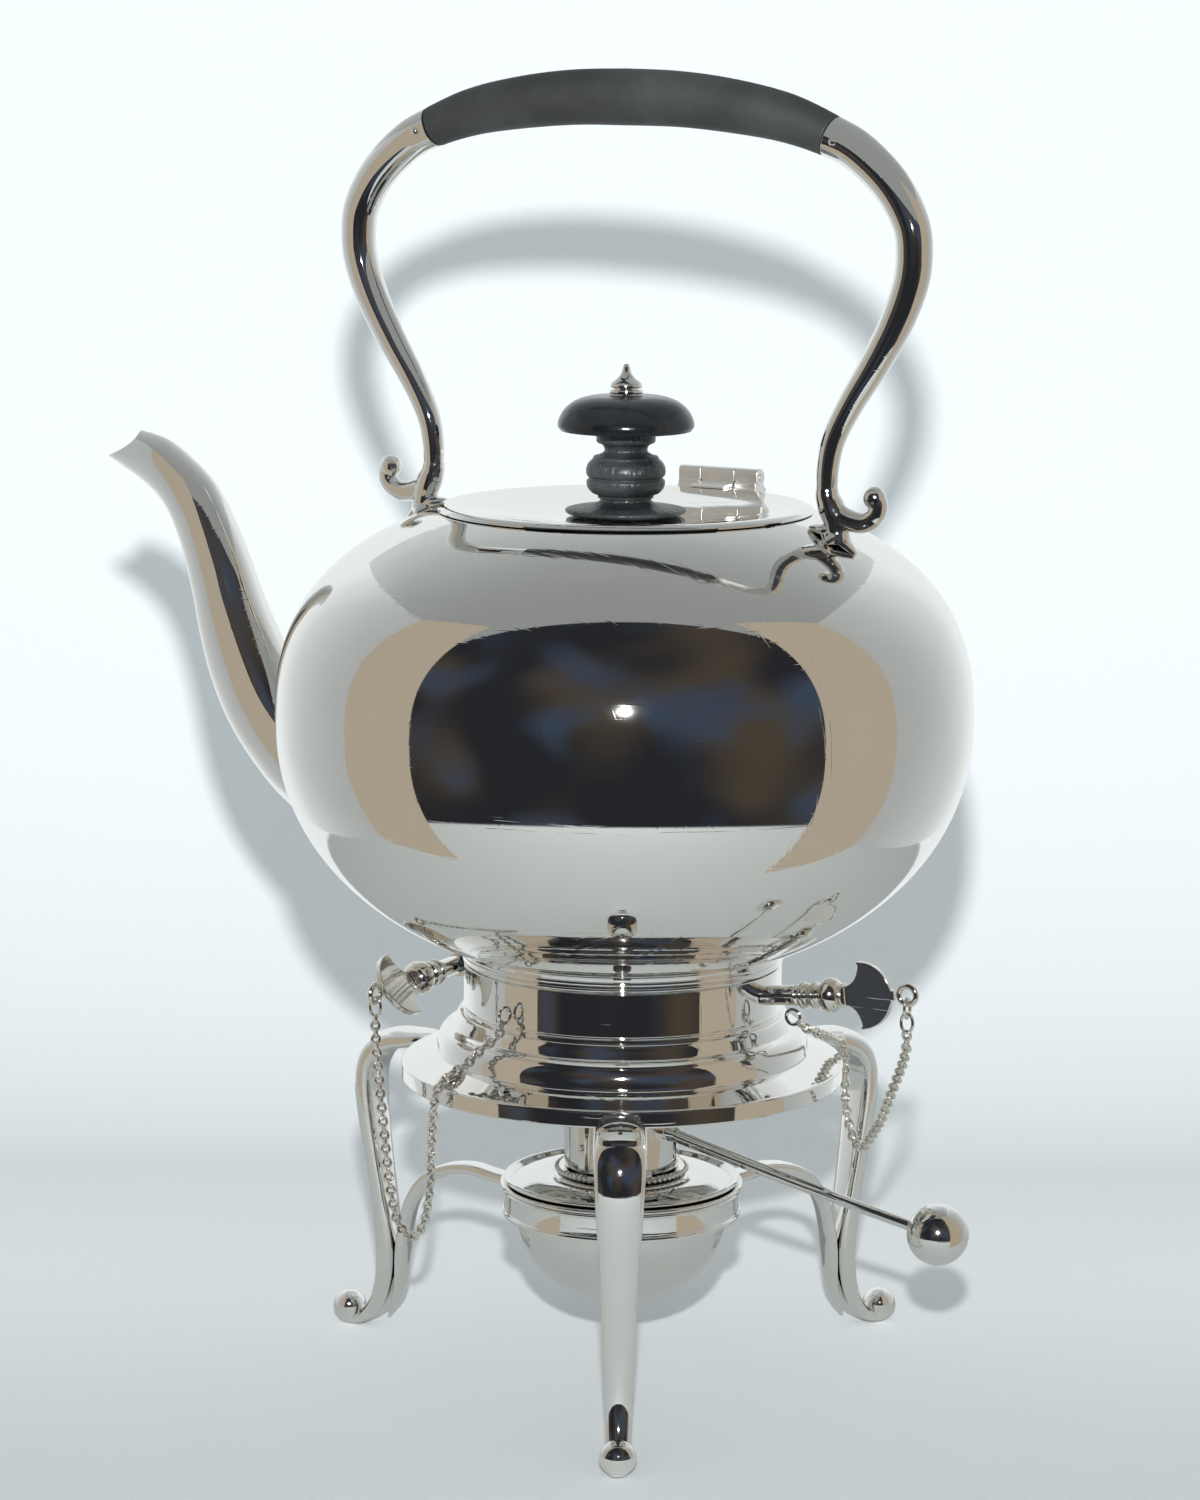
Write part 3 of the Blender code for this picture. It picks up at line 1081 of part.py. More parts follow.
def make_knob():
    knob_piece("knob_base", KNOB_BASE_SHARES, KNOB_BASE_R, KNOB_BASE_H, KNOB_BASE_Z, "gloss_ebony")
    knob_piece("knob_body", KNOB_BODY_SHARES, KNOB_BODY_R, KNOB_BODY_H, KNOB_BODY_Z, "gloss_ebony")
    knob_piece("knob_cap", KNOB_CAP_SHARES, KNOB_CAP_R, KNOB_CAP_H, KNOB_CAP_Z, "gloss_ebony")

    bore_depth = FINIAL_H * 0.3
    profile = [(0, FINIAL_Z + FINIAL_H)]
    profile += [(r * FINIAL_R, FINIAL_Z + z * FINIAL_H) for r, z in FINIAL_SHARES]
    profile += [(LID_HOLE_R, FINIAL_Z), (LID_HOLE_R, FINIAL_Z + bore_depth),
                (0, FINIAL_Z + bore_depth)]
    part(turned("knob_finial", profile, SMALL_STEPS), "lid", "silver_kettle")

    nut_top = LID_TOP - LID_T - GAP
    loops = [circle(NUT_R, 6), circle(LID_HOLE_R, SMALL_STEPS)]
    part(sheet("knob_nut", loops, NUT_H), "lid", "silver_kettle", (0, 0, nut_top - NUT_H / 2))
    bolt_base = nut_top - NUT_H - GAP
    part(rod("knob_bolt", BOLT_R, FINIAL_Z + bore_depth - GAP - bolt_base, SMALL_STEPS), "lid",
         "silver_kettle", (0, 0, bolt_base))


clear_scene()
PARTS = new_collection("spirit_kettle")
CUTTERS = new_collection("cutters")
make_materials()
make_pivots()
make_plate()
make_collar()
make_legs()
make_lamp_arms()
make_lamp_ring()
make_lamp()
make_regulator()
BODY_SPACE = make_body()
make_foot()
make_kettle_hinge()
make_pins()
make_chains()
make_spout(BODY_SPACE)
make_handle(BODY_SPACE)
make_lid()
make_lid_hinge(BODY_SPACE)
make_knob()
bpy.context.view_layer.update()
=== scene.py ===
"""A silver spirit kettle on its tripod stand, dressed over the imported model."""
import bmesh
import bpy
from math import asin, atan2, cos, degrees, hypot, pi, radians, sin, tau
from mathutils import Matrix, Vector


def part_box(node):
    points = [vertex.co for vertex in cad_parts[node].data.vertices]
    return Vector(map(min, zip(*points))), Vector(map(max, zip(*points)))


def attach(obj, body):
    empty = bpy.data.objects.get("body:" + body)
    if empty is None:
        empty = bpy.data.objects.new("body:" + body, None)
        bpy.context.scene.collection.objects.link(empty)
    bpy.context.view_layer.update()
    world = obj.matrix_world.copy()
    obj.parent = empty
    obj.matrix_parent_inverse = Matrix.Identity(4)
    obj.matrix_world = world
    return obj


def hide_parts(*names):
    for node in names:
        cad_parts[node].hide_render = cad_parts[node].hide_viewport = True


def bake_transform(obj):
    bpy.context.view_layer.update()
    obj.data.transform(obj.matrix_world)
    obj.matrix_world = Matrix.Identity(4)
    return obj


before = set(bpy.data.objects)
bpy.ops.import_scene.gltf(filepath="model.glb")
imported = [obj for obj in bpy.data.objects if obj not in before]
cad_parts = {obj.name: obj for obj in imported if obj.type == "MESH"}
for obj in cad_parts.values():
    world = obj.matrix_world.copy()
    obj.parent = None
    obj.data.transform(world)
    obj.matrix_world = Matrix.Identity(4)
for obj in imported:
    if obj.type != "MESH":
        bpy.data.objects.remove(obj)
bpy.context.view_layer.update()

# Camera: a long lens a little above the lid, turned from the plane of the spout and handle.
# It aims just below the middle of the body, and the picture leans by a third of a degree.
MM = 0.001
AXIS_X = (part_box("stand_plate")[0].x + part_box("stand_plate")[1].x) / 2
PHOTO_H = 1500
LENS_PX = 4532
CAMERA_AZ = radians(29)
CAMERA_REACH = 1155 * MM
CAMERA_LIFT = 363 * MM
CAMERA_PAN = radians(0.309)
CAMERA_DIP = radians(9.66)
CAMERA_LEAN = radians(0.3)
SENSOR_H = 36

camera_data = bpy.data.cameras.new("camera")
camera_data.sensor_fit = "VERTICAL"
camera_data.sensor_height = SENSOR_H
camera_data.lens = LENS_PX / PHOTO_H * SENSOR_H
camera_data.clip_start = 50 * MM
camera = bpy.data.objects.new("camera", camera_data)
bpy.context.scene.collection.objects.link(camera)
eye = Vector((AXIS_X + CAMERA_REACH * sin(CAMERA_AZ), -CAMERA_REACH * cos(CAMERA_AZ), CAMERA_LIFT))
camera.matrix_world = (Matrix.Translation(eye) @ Matrix.Rotation(CAMERA_AZ + CAMERA_PAN, 4, "Z")
                       @ Matrix.Rotation(pi / 2 - CAMERA_DIP, 4, "X")
                       @ Matrix.Rotation(CAMERA_LEAN, 4, "Z"))
bpy.context.scene.camera = camera
bpy.context.scene.view_settings.view_transform = "Standard"


# Studio: a pale table that sweeps up behind, inside a grey-white tent. The tent is open towards
# the camera, where silver shows the dark room beyond, between two warm boards and a dark strap.
# The tent is seen only in reflections and the sweep only from the front, so every side is clear.
TENT_BACK = (0.86, 0.90, 0.91, 1)
TENT_FILL = (0.45, 0.472, 0.480, 1)
BACKDROP = (0.86, 0.93, 0.95, 1)
ROOM_DARK = (0.020, 0.021, 0.025, 1)
ROOM_WARM = (0.068, 0.054, 0.039, 1)
ROOM_COOL = (0.044, 0.062, 0.098, 1)
BOARD_TONE = (0.435, 0.375, 0.295, 1)
STRAP_TONE = (0.035, 0.036, 0.040, 1)
WALL_TONE = (0.40, 0.42, 0.415, 1)
ROOF_TONE = (0.285, 0.300, 0.295, 1)
ROOF_FAR = (0.62, 0.66, 0.67, 1)
TABLE_TONE = (0.93, 0.98, 0.995, 1)
# Painted shade: the table is painted darker towards the camera, and silver sees it in a darker painted
# shade still.
TABLE_NEAR_SHADE = (0.62, 0.66, 0.675, 1)
TABLE_SHADE_IN_SILVER = (0.57, 0.595, 0.585, 1)
TABLE_R = 320 * MM
TABLE_FADE = 1.05
TABLE_DARK_AT = -150 * MM
TABLE_PALE_AT = 110 * MM
FLOOR_HALF = 6.0
SWEEP_START = 210 * MM
SWEEP_R = 230 * MM
SWEEP_LIFT = 0.3 * MM
SWEEP_STEPS = 24
SWEEP_HALF_W = 1.6
SWEEP_H = 1.9
# Places in the tent, in mm: to the right of the stand's axis, away from the camera, and up
OPENING_LEFT = (-173, -110)
OPENING_RIGHT = (133, -110)
BOARD_LEFT = (-272, -12)
BOARD_RIGHT = (252, -31)
STRAP_NEAR = (-270, -16)
STRAP_FAR = (-284, 2)
STRAP_LOW = 120
STRAP_HIGH = 275
OPENING_H = 335
TENT_NEAR = -60
TENT_FAR = 470
TENT_UNEVEN = 90
WALL_SPREAD = 1.05
ROOF_H = 430
ROOF_FRONT = -115
ROOF_LEFT = -420
ROOF_RIGHT = 400


def math_node(nodes, links, kind, *values):
    node = nodes.new("ShaderNodeMath")
    node.operation = kind
    for socket, value in zip(node.inputs, values):
        if isinstance(value, (int, float)):
            socket.default_value = value
        else:
            links.new(value, socket)
    return node.outputs[0]


def ramp_between(nodes, links, value, low, high):
    """0 below low, 1 above high and a smooth step between."""
    node = nodes.new("ShaderNodeMapRange")
    node.interpolation_type = "SMOOTHSTEP"
    node.inputs["From Min"].default_value = low
    node.inputs["From Max"].default_value = high
    links.new(value, node.inputs["Value"])
    return node.outputs["Result"]


def mixed_colour(nodes, links, share, first, second):
    node = nodes.new("ShaderNodeMix")
    node.data_type = "RGBA"
    links.new(share, node.inputs["Factor"])
    for socket, colour in ((node.inputs[6], first), (node.inputs[7], second)):
        if isinstance(colour, tuple):
            socket.default_value = colour
        else:
            links.new(colour, socket)
    return node.outputs[2]


def cloudy(nodes, links, where, scale, detail):
    """Soft noise over a place or a heading."""
    node = nodes.new("ShaderNodeTexNoise")
    node.inputs["Scale"].default_value = scale
    node.inputs["Detail"].default_value = detail
    links.new(where, node.inputs["Vector"])
    return node.outputs["Fac"]


def depth_of(nodes, links, where):
    """How far a place or a heading lies away from the camera's side."""
    node = nodes.new("ShaderNodeVectorMath")
    node.operation = "DOT_PRODUCT"
    node.inputs[1].default_value = (-sin(CAMERA_AZ), cos(CAMERA_AZ), 0)
    links.new(where, node.inputs[0])
    return node.outputs["Value"]


def new_finish(name):
    """A material, its nodes, links and shader, and each point's place on its object."""
    material = bpy.data.materials.new(name)
    material.use_nodes = True
    nodes = material.node_tree.nodes
    where = nodes.new("ShaderNodeTexCoord").outputs["Object"]
    return material, nodes, material.node_tree.links, nodes["Principled BSDF"], where


def bumped(nodes, links, shader, height, strength, depth):
    """Raise the surface by a height of 0 to 1, which stands for depth millimetres."""
    bump = nodes.new("ShaderNodeBump")
    bump.inputs["Strength"].default_value = strength
    bump.inputs["Distance"].default_value = depth * MM
    links.new(height, bump.inputs["Height"])
    links.new(bump.outputs["Normal"], shader.inputs["Normal"])


# Even light from the tent all round; in silver, the room in front and the tent behind.
world = bpy.data.worlds.new("tent")
bpy.context.scene.world = world
world.use_nodes = True
nodes = world.node_tree.nodes
links = world.node_tree.links
nodes.clear()
heading = nodes.new("ShaderNodeTexCoord").outputs["Generated"]
warm = ramp_between(nodes, links, cloudy(nodes, links, heading, 1.3, 1), 0.40, 0.70)
cool = ramp_between(nodes, links, cloudy(nodes, links, heading, 1.9, 1), 0.45, 0.75)
room = mixed_colour(nodes, links, warm, ROOM_DARK, ROOM_WARM)
room = mixed_colour(nodes, links, cool, room, ROOM_COOL)
behind = ramp_between(nodes, links, depth_of(nodes, links, heading), -0.02, 0.02)
seen_in_silver = mixed_colour(nodes, links, behind, room, TENT_BACK)
rays = nodes.new("ShaderNodeLightPath")
tone = mixed_colour(nodes, links, rays.outputs["Is Glossy Ray"], TENT_FILL, seen_in_silver)
tone = mixed_colour(nodes, links, rays.outputs["Is Camera Ray"], tone, BACKDROP)
tent = nodes.new("ShaderNodeBackground")
links.new(tone, tent.inputs["Color"])
links.new(tent.outputs["Background"], nodes.new("ShaderNodeOutputWorld").inputs["Surface"])


def stage_piece(name, bm, material):
    mesh = bpy.data.meshes.new(name)
    bm.to_mesh(mesh)
    bm.free()
    mesh.shade_smooth()
    mesh.materials.append(material)
    obj = bpy.data.objects.new(name, mesh)
    bpy.context.scene.collection.objects.link(obj)
    return obj


def cloth_finish(name, one_sided):
    """Pale cloth, with a fine weave, painted darker towards the camera and darker still where silver sees
    it, as painted shade. The table's far part is left out of reflections, and the sweep is clear from
    behind."""
    material, nodes, links, shader, where = new_finish(name)
    shader.inputs["Roughness"].default_value = 0.9
    shader.inputs["Specular IOR Level"].default_value = 0.1
    rays = nodes.new("ShaderNodeLightPath")
    # Painted shade: the table is painted darker towards the camera.
    farther = ramp_between(nodes, links, depth_of(nodes, links, where), TABLE_DARK_AT, TABLE_PALE_AT)
    pale = mixed_colour(nodes, links, farther, TABLE_NEAR_SHADE, TABLE_TONE)
    # Painted shade: silver sees the table in a darker tone.
    links.new(mixed_colour(nodes, links, rays.outputs["Is Glossy Ray"], pale, TABLE_SHADE_IN_SILVER),
              shader.inputs["Base Color"])
    clear = nodes.new("ShaderNodeMixShader")
    if one_sided:
        links.new(nodes.new("ShaderNodeNewGeometry").outputs["Backfacing"], clear.inputs["Fac"])
    else:
        centre = nodes.new("ShaderNodeVectorMath")
        centre.operation = "DISTANCE"
        centre.inputs[1].default_value = (AXIS_X, 0, 0)
        links.new(where, centre.inputs[0])
        past_table = ramp_between(nodes, links, centre.outputs["Value"], TABLE_R, TABLE_R * TABLE_FADE)
        links.new(math_node(nodes, links, "MULTIPLY", past_table, rays.outputs["Is Glossy Ray"]),
                  clear.inputs["Fac"])
    links.new(shader.outputs["BSDF"], clear.inputs[1])
    links.new(nodes.new("ShaderNodeBsdfTransparent").outputs["BSDF"], clear.inputs[2])
    links.new(clear.outputs["Shader"], nodes["Material Output"].inputs["Surface"])
    bumped(nodes, links, shader, cloudy(nodes, links, where, 900, 2), 0.15, 0.4)
    return material


bm = bmesh.new()
bmesh.ops.create_grid(bm, x_segments=1, y_segments=1, size=FLOOR_HALF)
stage_piece("table", bm, cloth_finish("table_cloth", False))

# The sweep: flat, a quarter round and upright, across the picture behind the kettle.
bm = bmesh.new()
profile = [(SWEEP_START, SWEEP_LIFT)]
for i in range(SWEEP_STEPS + 1):
    turn = pi / 2 * i / SWEEP_STEPS
    profile.append((SWEEP_START + SWEEP_R * sin(turn), SWEEP_LIFT + SWEEP_R * (1 - cos(turn))))
profile.append((SWEEP_START + SWEEP_R, SWEEP_H))
verts = [bm.verts.new((-SWEEP_HALF_W, back, up)) for back, up in profile]
grown = bmesh.ops.extrude_edge_only(bm, edges=[bm.edges.new(pair) for pair in zip(verts, verts[1:])])
far_side = [item for item in grown["geom"] if isinstance(item, bmesh.types.BMVert)]
bmesh.ops.translate(bm, verts=far_side, vec=(2 * SWEEP_HALF_W, 0, 0))
bmesh.ops.rotate(bm, verts=bm.verts, cent=(0, 0, 0), matrix=Matrix.Rotation(CAMERA_AZ, 3, "Z"))
bmesh.ops.translate(bm, verts=bm.verts, vec=(AXIS_X, 0, 0))
towards_camera = Vector((sin(CAMERA_AZ), -cos(CAMERA_AZ), 1))
bm.normal_update()
bmesh.ops.reverse_faces(bm, faces=[face for face in bm.faces if face.normal.dot(towards_camera) < 0])
sweep = stage_piece("sweep", bm, cloth_finish("sweep_cloth", True))
sweep.visible_diffuse = False
sweep.visible_glossy = False
sweep.visible_transmission = False
sweep.visible_shadow = False


def tent_cloth(name, corners, near_tone, far_tone):
    """A cloth or board of the tent, which glows softly and brightens towards the back."""
    material = bpy.data.materials.new(name)
    material.use_nodes = True
    nodes = material.node_tree.nodes
    links = material.node_tree.links
    nodes.clear()
    where = nodes.new("ShaderNodeTexCoord").outputs["Object"]
    depth = depth_of(nodes, links, where)
    shade = math_node(nodes, links, "MULTIPLY", cloudy(nodes, links, where, 5, 2), TENT_UNEVEN * MM)
    uneven = math_node(nodes, links, "ADD", depth, shade)
    farther = ramp_between(nodes, links, uneven, TENT_NEAR * MM, TENT_FAR * MM)
    glow = nodes.new("ShaderNodeEmission")
    links.new(mixed_colour(nodes, links, farther, near_tone, far_tone), glow.inputs["Color"])
    links.new(glow.outputs["Emission"], nodes.new("ShaderNodeOutputMaterial").inputs["Surface"])
    bm = bmesh.new()
    verts = [bm.verts.new((right * MM, away * MM, up * MM)) for right, away, up in corners]
    bmesh.ops.contextual_create(bm, geom=verts)
    bmesh.ops.rotate(bm, verts=bm.verts, cent=(0, 0, 0), matrix=Matrix.Rotation(CAMERA_AZ, 3, "Z"))
    bmesh.ops.translate(bm, verts=bm.verts, vec=(AXIS_X, 0, 0))
    cloth = stage_piece(name, bm, material)
    cloth.visible_camera = False
    cloth.visible_diffuse = False
    cloth.visible_transmission = False
    cloth.visible_shadow = False


def upright(near, far, low, high):
    """Corners of an upright cloth that stands between two places in the tent."""
    return [(*near, low), (*near, high), (*far, high), (*far, low)]


for side, inner, outer in (("left", OPENING_LEFT, BOARD_LEFT), ("right", OPENING_RIGHT, BOARD_RIGHT)):
    tent_cloth("board_" + side, upright(inner, outer, 0, ROOF_H), BOARD_TONE, BOARD_TONE)
    far = (outer[0] * WALL_SPREAD, TENT_FAR)
    tent_cloth("wall_" + side, upright(outer, far, 0, ROOF_H), WALL_TONE, TENT_BACK)
tent_cloth("strap", upright(STRAP_NEAR, STRAP_FAR, STRAP_LOW, STRAP_HIGH), STRAP_TONE, STRAP_TONE)
tent_cloth("curtain", upright(OPENING_RIGHT, OPENING_LEFT, OPENING_H, ROOF_H), ROOF_TONE, ROOF_TONE)
tent_cloth("roof", [(ROOF_LEFT, ROOF_FRONT, ROOF_H), (ROOF_RIGHT, ROOF_FRONT, ROOF_H),
                    (ROOF_RIGHT, TENT_FAR, ROOF_H), (ROOF_LEFT, TENT_FAR, ROOF_H)], ROOF_TONE, ROOF_FAR)

# A small round flash above the camera.
FLASH_LIFT = 135 * MM
FLASH_SIZE = 30 * MM
FLASH_WATTS = 14
FLASH_AIM_H = 170 * MM
flash_data = bpy.data.lights.new("flash", "AREA")
flash_data.shape = "DISK"
flash_data.size = FLASH_SIZE
flash_data.energy = FLASH_WATTS
flash = bpy.data.objects.new("flash", flash_data)
flash.location = eye + Vector((0, 0, FLASH_LIFT))
flash_aim = Vector((AXIS_X, 0, FLASH_AIM_H)) - flash.location
flash.rotation_euler = flash_aim.to_track_quat("-Z", "Y").to_euler()
flash.visible_camera = False
bpy.context.scene.collection.objects.link(flash)


# Silver: polished plate with hairline scratches from cloths, in two directions, and slightly
# uneven gloss. All silver pieces share the recipe with their own tone and gloss.
SILVER_TONE = (0.90, 0.895, 0.875, 1)
SILVER_SHADE = (0.86, 0.85, 0.82, 1)
LAMP_SHADE = (0.79, 0.785, 0.76, 1)
OLD_SILVER_TONE = (0.86, 0.845, 0.80, 1)
OLD_SILVER_SHADE = (0.74, 0.71, 0.64, 1)
# Turn and stretch of the hairlines
RUBS = (((0.3, 0.5, 0.7), (60, 1400, 60)), ((1.1, -0.4, 2.1), (50, 50, 1200)))


def gloss_between(nodes, links, shader, value, low, high, gloss, spread):
    """Roughness that climbs from gloss by a spread while a value goes from low to high."""
    rough = nodes.new("ShaderNodeMapRange")
    rough.inputs["From Min"].default_value = low
    rough.inputs["From Max"].default_value = high
    rough.inputs["To Min"].default_value = gloss
    rough.inputs["To Max"].default_value = gloss + spread
    links.new(value, rough.inputs["Value"])
    links.new(rough.outputs["Result"], shader.inputs["Roughness"])


def silver_finish(name, tone, shade, gloss, wear):
    """Silver clouded between a tone and a shade; gloss is its least roughness and wear the strength
    of its hairlines."""
    material, nodes, links, shader, where = new_finish(name)
    shader.inputs["Metallic"].default_value = 1.0
    cloud = cloudy(nodes, links, where, 38, 4)
    links.new(mixed_colour(nodes, links, cloud, tone, shade), shader.inputs["Base Color"])
    gloss_between(nodes, links, shader, cloud, 0.3, 0.7, gloss, 0.035)
    marks = None
    for turn, stretch in RUBS:
        rub = nodes.new("ShaderNodeMapping")
        rub.inputs["Rotation"].default_value = turn
        rub.inputs["Scale"].default_value = stretch
        links.new(where, rub.inputs["Vector"])
        hair = cloudy(nodes, links, rub.outputs["Vector"], 1.0, 2)
        fine = ramp_between(nodes, links, hair, 0.58, 0.74)
        marks = fine if marks is None else math_node(nodes, links, "ADD", marks, fine)
    bumped(nodes, links, shader, marks, wear, 0.02)
    return material


KETTLE_SILVER = silver_finish("kettle_silver", SILVER_TONE, SILVER_SHADE, 0.012, 0.30)
STAND_SILVER = silver_finish("stand_silver", SILVER_TONE, SILVER_SHADE, 0.02, 0.30)
LAMP_SILVER = silver_finish("lamp_silver", SILVER_SHADE, LAMP_SHADE, 0.055, 0.35)
HINGE_SILVER = silver_finish("hinge_silver", SILVER_TONE, SILVER_SHADE, 0.34, 0.50)
PIN_SILVER = silver_finish("pin_silver", OLD_SILVER_TONE, OLD_SILVER_SHADE, 0.06, 0.40)


# Stand plate: a spun plate with a flat rim, a sloping ledge, a rounded shoulder and a step
# under the collar. It is silver soldered to the collar and carries the three legs.
# Everything is made about the stand's axis, in millimetres, and piece() sets it on the frame.
ROUND_STEPS = 168
STAND_STEP_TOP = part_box("stand_plate")[1].z / MM
RIM_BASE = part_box("stand_plate")[0].z / MM
PLATE_R = 57.7
RIM_TOP = RIM_BASE + 4.4
LEDGE_TOP = RIM_TOP + 2.8
SHOULDER_R = 48.5
SHOULDER_H = 7.0
STEP_R = 44.2
PLATE_WALL = 1.5
COLLAR_R = 41.4
COLLAR_BORE = 40.2


def arc(r_mid, z_mid, r_half, z_half, start, end, steps):
    """Points of an elliptical arc in an outline, with its start and end in degrees."""
    return [(r_mid + r_half * cos(radians(start + (end - start) * i / steps)),
             z_mid + z_half * sin(radians(start + (end - start) * i / steps)))
            for i in range(steps + 1)]


def smooth(rows, per_span):
    """Rows of numbers read from a Catmull-Rom curve through the given rows."""
    padded = [rows[0], *rows, rows[-1]]
    out = []
    for quad in zip(padded, padded[1:], padded[2:], padded[3:]):
        for i in range(per_span):
            t = i / per_span
            weights = (-t + 2 * t ** 2 - t ** 3, 2 - 5 * t ** 2 + 3 * t ** 3,
                       t + 4 * t ** 2 - 3 * t ** 3, t ** 3 - t ** 2)
            out.append(tuple(sum(w * v for w, v in zip(weights, values)) / 2
                             for values in zip(*quad)))
    out.append(tuple(rows[-1]))
    return out


def tidied(bm):
    bmesh.ops.remove_doubles(bm, verts=bm.verts, dist=0.0005 * MM)
    bmesh.ops.dissolve_degenerate(bm, edges=bm.edges, dist=0.0005 * MM)
    bmesh.ops.recalc_face_normals(bm, faces=bm.faces)
    return bm


def turned(outline, steps=ROUND_STEPS, closed=True):
    """Spin an outline of (radius, height) points about the upright axis."""
    bm = bmesh.new()
    verts = [bm.verts.new((r * MM, 0, z * MM)) for r, z in outline]
    edges = [bm.edges.new(pair) for pair in zip(verts, verts[1:])]
    if closed:
        edges.append(bm.edges.new((verts[-1], verts[0])))
    bmesh.ops.spin(bm, geom=verts + edges, cent=(0, 0, 0), axis=(0, 0, 1), dvec=(0, 0, 0),
                   angle=tau, steps=steps, use_merge=True)
    return tidied(bm)


def moved(bm, matrix):
    """Take a shape through a turn and a move given in millimetres."""
    placed = matrix.copy()
    placed.translation = placed.translation * MM
    bmesh.ops.transform(bm, matrix=placed, space=Matrix(), verts=bm.verts)
    return bm


def piece(name, bm, finish, body, stands_for=(), edge=0.0, soften=30, crease=50):
    """Set a shape on the frame as a shown piece, with its edges rounded by edge millimetres."""
    bmesh.ops.translate(bm, verts=bm.verts, vec=(AXIS_X, 0, 0))
    mesh = bpy.data.meshes.new(name)
    bm.to_mesh(mesh)
    bm.free()
    mesh.shade_smooth()
    obj = bpy.data.objects.new(name, mesh)
    bpy.context.scene.collection.objects.link(obj)
    mesh.materials.append(finish)
    if edge:
        bevel = obj.modifiers.new("Rounded edges", "BEVEL")
        bevel.width = edge * MM
        bevel.segments = 3
        bevel.limit_method = "ANGLE"
        bevel.angle_limit = radians(soften)
        bevel.harden_normals = True
    elif crease < 180:
        mesh.set_sharp_from_angle(angle=radians(crease))
        even = obj.modifiers.new("Even shading", "WEIGHTED_NORMAL")
        even.keep_sharp = True
    if body:
        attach(obj, body)
    if stands_for:
        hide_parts(*stands_for)
    return obj


shoulder_top = LEDGE_TOP + SHOULDER_H
plate_top = [(COLLAR_BORE, STAND_STEP_TOP), (COLLAR_R + 0.9, STAND_STEP_TOP),
             (COLLAR_R + 1.3, STAND_STEP_TOP - 0.25),
             (STEP_R - 0.7, (STAND_STEP_TOP + shoulder_top) / 2 + 0.1),
             (STEP_R - 0.05, shoulder_top + 0.35), (STEP_R + 0.35, shoulder_top)]
plate_top += arc(STEP_R, LEDGE_TOP + 0.8, SHOULDER_R - STEP_R, SHOULDER_H - 0.8, 84, 0, 16)
plate_top += arc(SHOULDER_R + 0.9, LEDGE_TOP + 0.75, 0.9, 0.9, 180, 255, 5)
plate_top += [(PLATE_R - 1.3, RIM_TOP + 0.15), *arc(PLATE_R - 0.7, RIM_TOP - 0.65, 0.7, 0.7, 80, 0, 5),
              (PLATE_R, RIM_BASE + 0.5), *arc(PLATE_R - 0.5, RIM_BASE + 0.5, 0.5, 0.5, 0, -90, 4)]
plate_under = [(PLATE_R - PLATE_WALL, RIM_BASE), (PLATE_R - PLATE_WALL, RIM_TOP - PLATE_WALL),
               (SHOULDER_R - PLATE_WALL, LEDGE_TOP - PLATE_WALL)]
plate_under += arc(STEP_R - PLATE_WALL, LEDGE_TOP - PLATE_WALL, SHOULDER_R - STEP_R, SHOULDER_H,
                   8, 90, 8)
plate_under += [(STEP_R - PLATE_WALL, STAND_STEP_TOP - PLATE_WALL),
                (COLLAR_BORE, STAND_STEP_TOP - PLATE_WALL)]
piece("plate", turned(plate_top + plate_under), STAND_SILVER, "stand",
      ["stand_plate"], crease=35)


# Collar: an upright silver band with a beaded foot and a rounded lip, which takes the
# kettle's foot ring. It is soldered on the plate's step.
COLLAR_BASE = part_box("stand_collar")[0].z / MM
COLLAR_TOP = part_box("stand_collar")[1].z / MM
collar_outline = [(COLLAR_BORE, COLLAR_TOP), (COLLAR_R - 0.3, COLLAR_TOP),
                  *arc(COLLAR_R - 0.3, COLLAR_TOP - 0.3, 0.3, 0.3, 80, 0, 3),
                  (COLLAR_R, COLLAR_BASE + 1.5),
                  *arc(COLLAR_R, COLLAR_BASE + 1.0, 0.32, 0.42, 80, -80, 6),
                  (COLLAR_R - 0.2, COLLAR_BASE + 0.5), (COLLAR_R - 0.2, COLLAR_BASE - 0.3),
                  (COLLAR_BORE, COLLAR_BASE - 0.3)]
piece("collar", turned(collar_outline), STAND_SILVER, "stand", ["stand_collar"])


# Legs: cast silver cabriole straps with a flat back, a broad knee at the rim and a thin toe
# that ends in a ball. Each is soldered under the plate's rim.
LEG_REACH = 31.2
LEG_T = 6.4
LEG_W = 13.2
LEG_TIP_Z = RIM_TOP + 1.5
LEG_SIDES = 26
TOE_R = 4.45
TOE_SHARE = 0.90
LEG_AZIMUTHS = (("spout", 178.8), ("front", -61.3), ("rear", 63.2))
# Share of the reach past the rim, of the tip's height, of the thickness, of the width
LEG_SHARES = (
    (-0.013, 0.966, 0.30, 0.44), (0.074, 0.964, 0.50, 0.78), (0.218, 0.956, 0.74, 0.92),
    (0.410, 0.944, 0.90, 0.98), (0.587, 0.905, 1.00, 1.00), (0.673, 0.829, 0.97, 0.95),
    (0.663, 0.718, 0.91, 0.88), (0.619, 0.603, 0.87, 0.77), (0.564, 0.475, 0.87, 0.69),
    (0.519, 0.359, 0.94, 0.64), (0.497, 0.255, 0.97, 0.59), (0.522, 0.156, 0.91, 0.53),
    (0.606, 0.077, 0.78, 0.50), (0.728, 0.032, 0.58, 0.48), (0.849, 0.016, 0.44, 0.44),
    (0.930, 0.014, 0.38, 0.36), (0.985, 0.016, 0.30, 0.24),
)


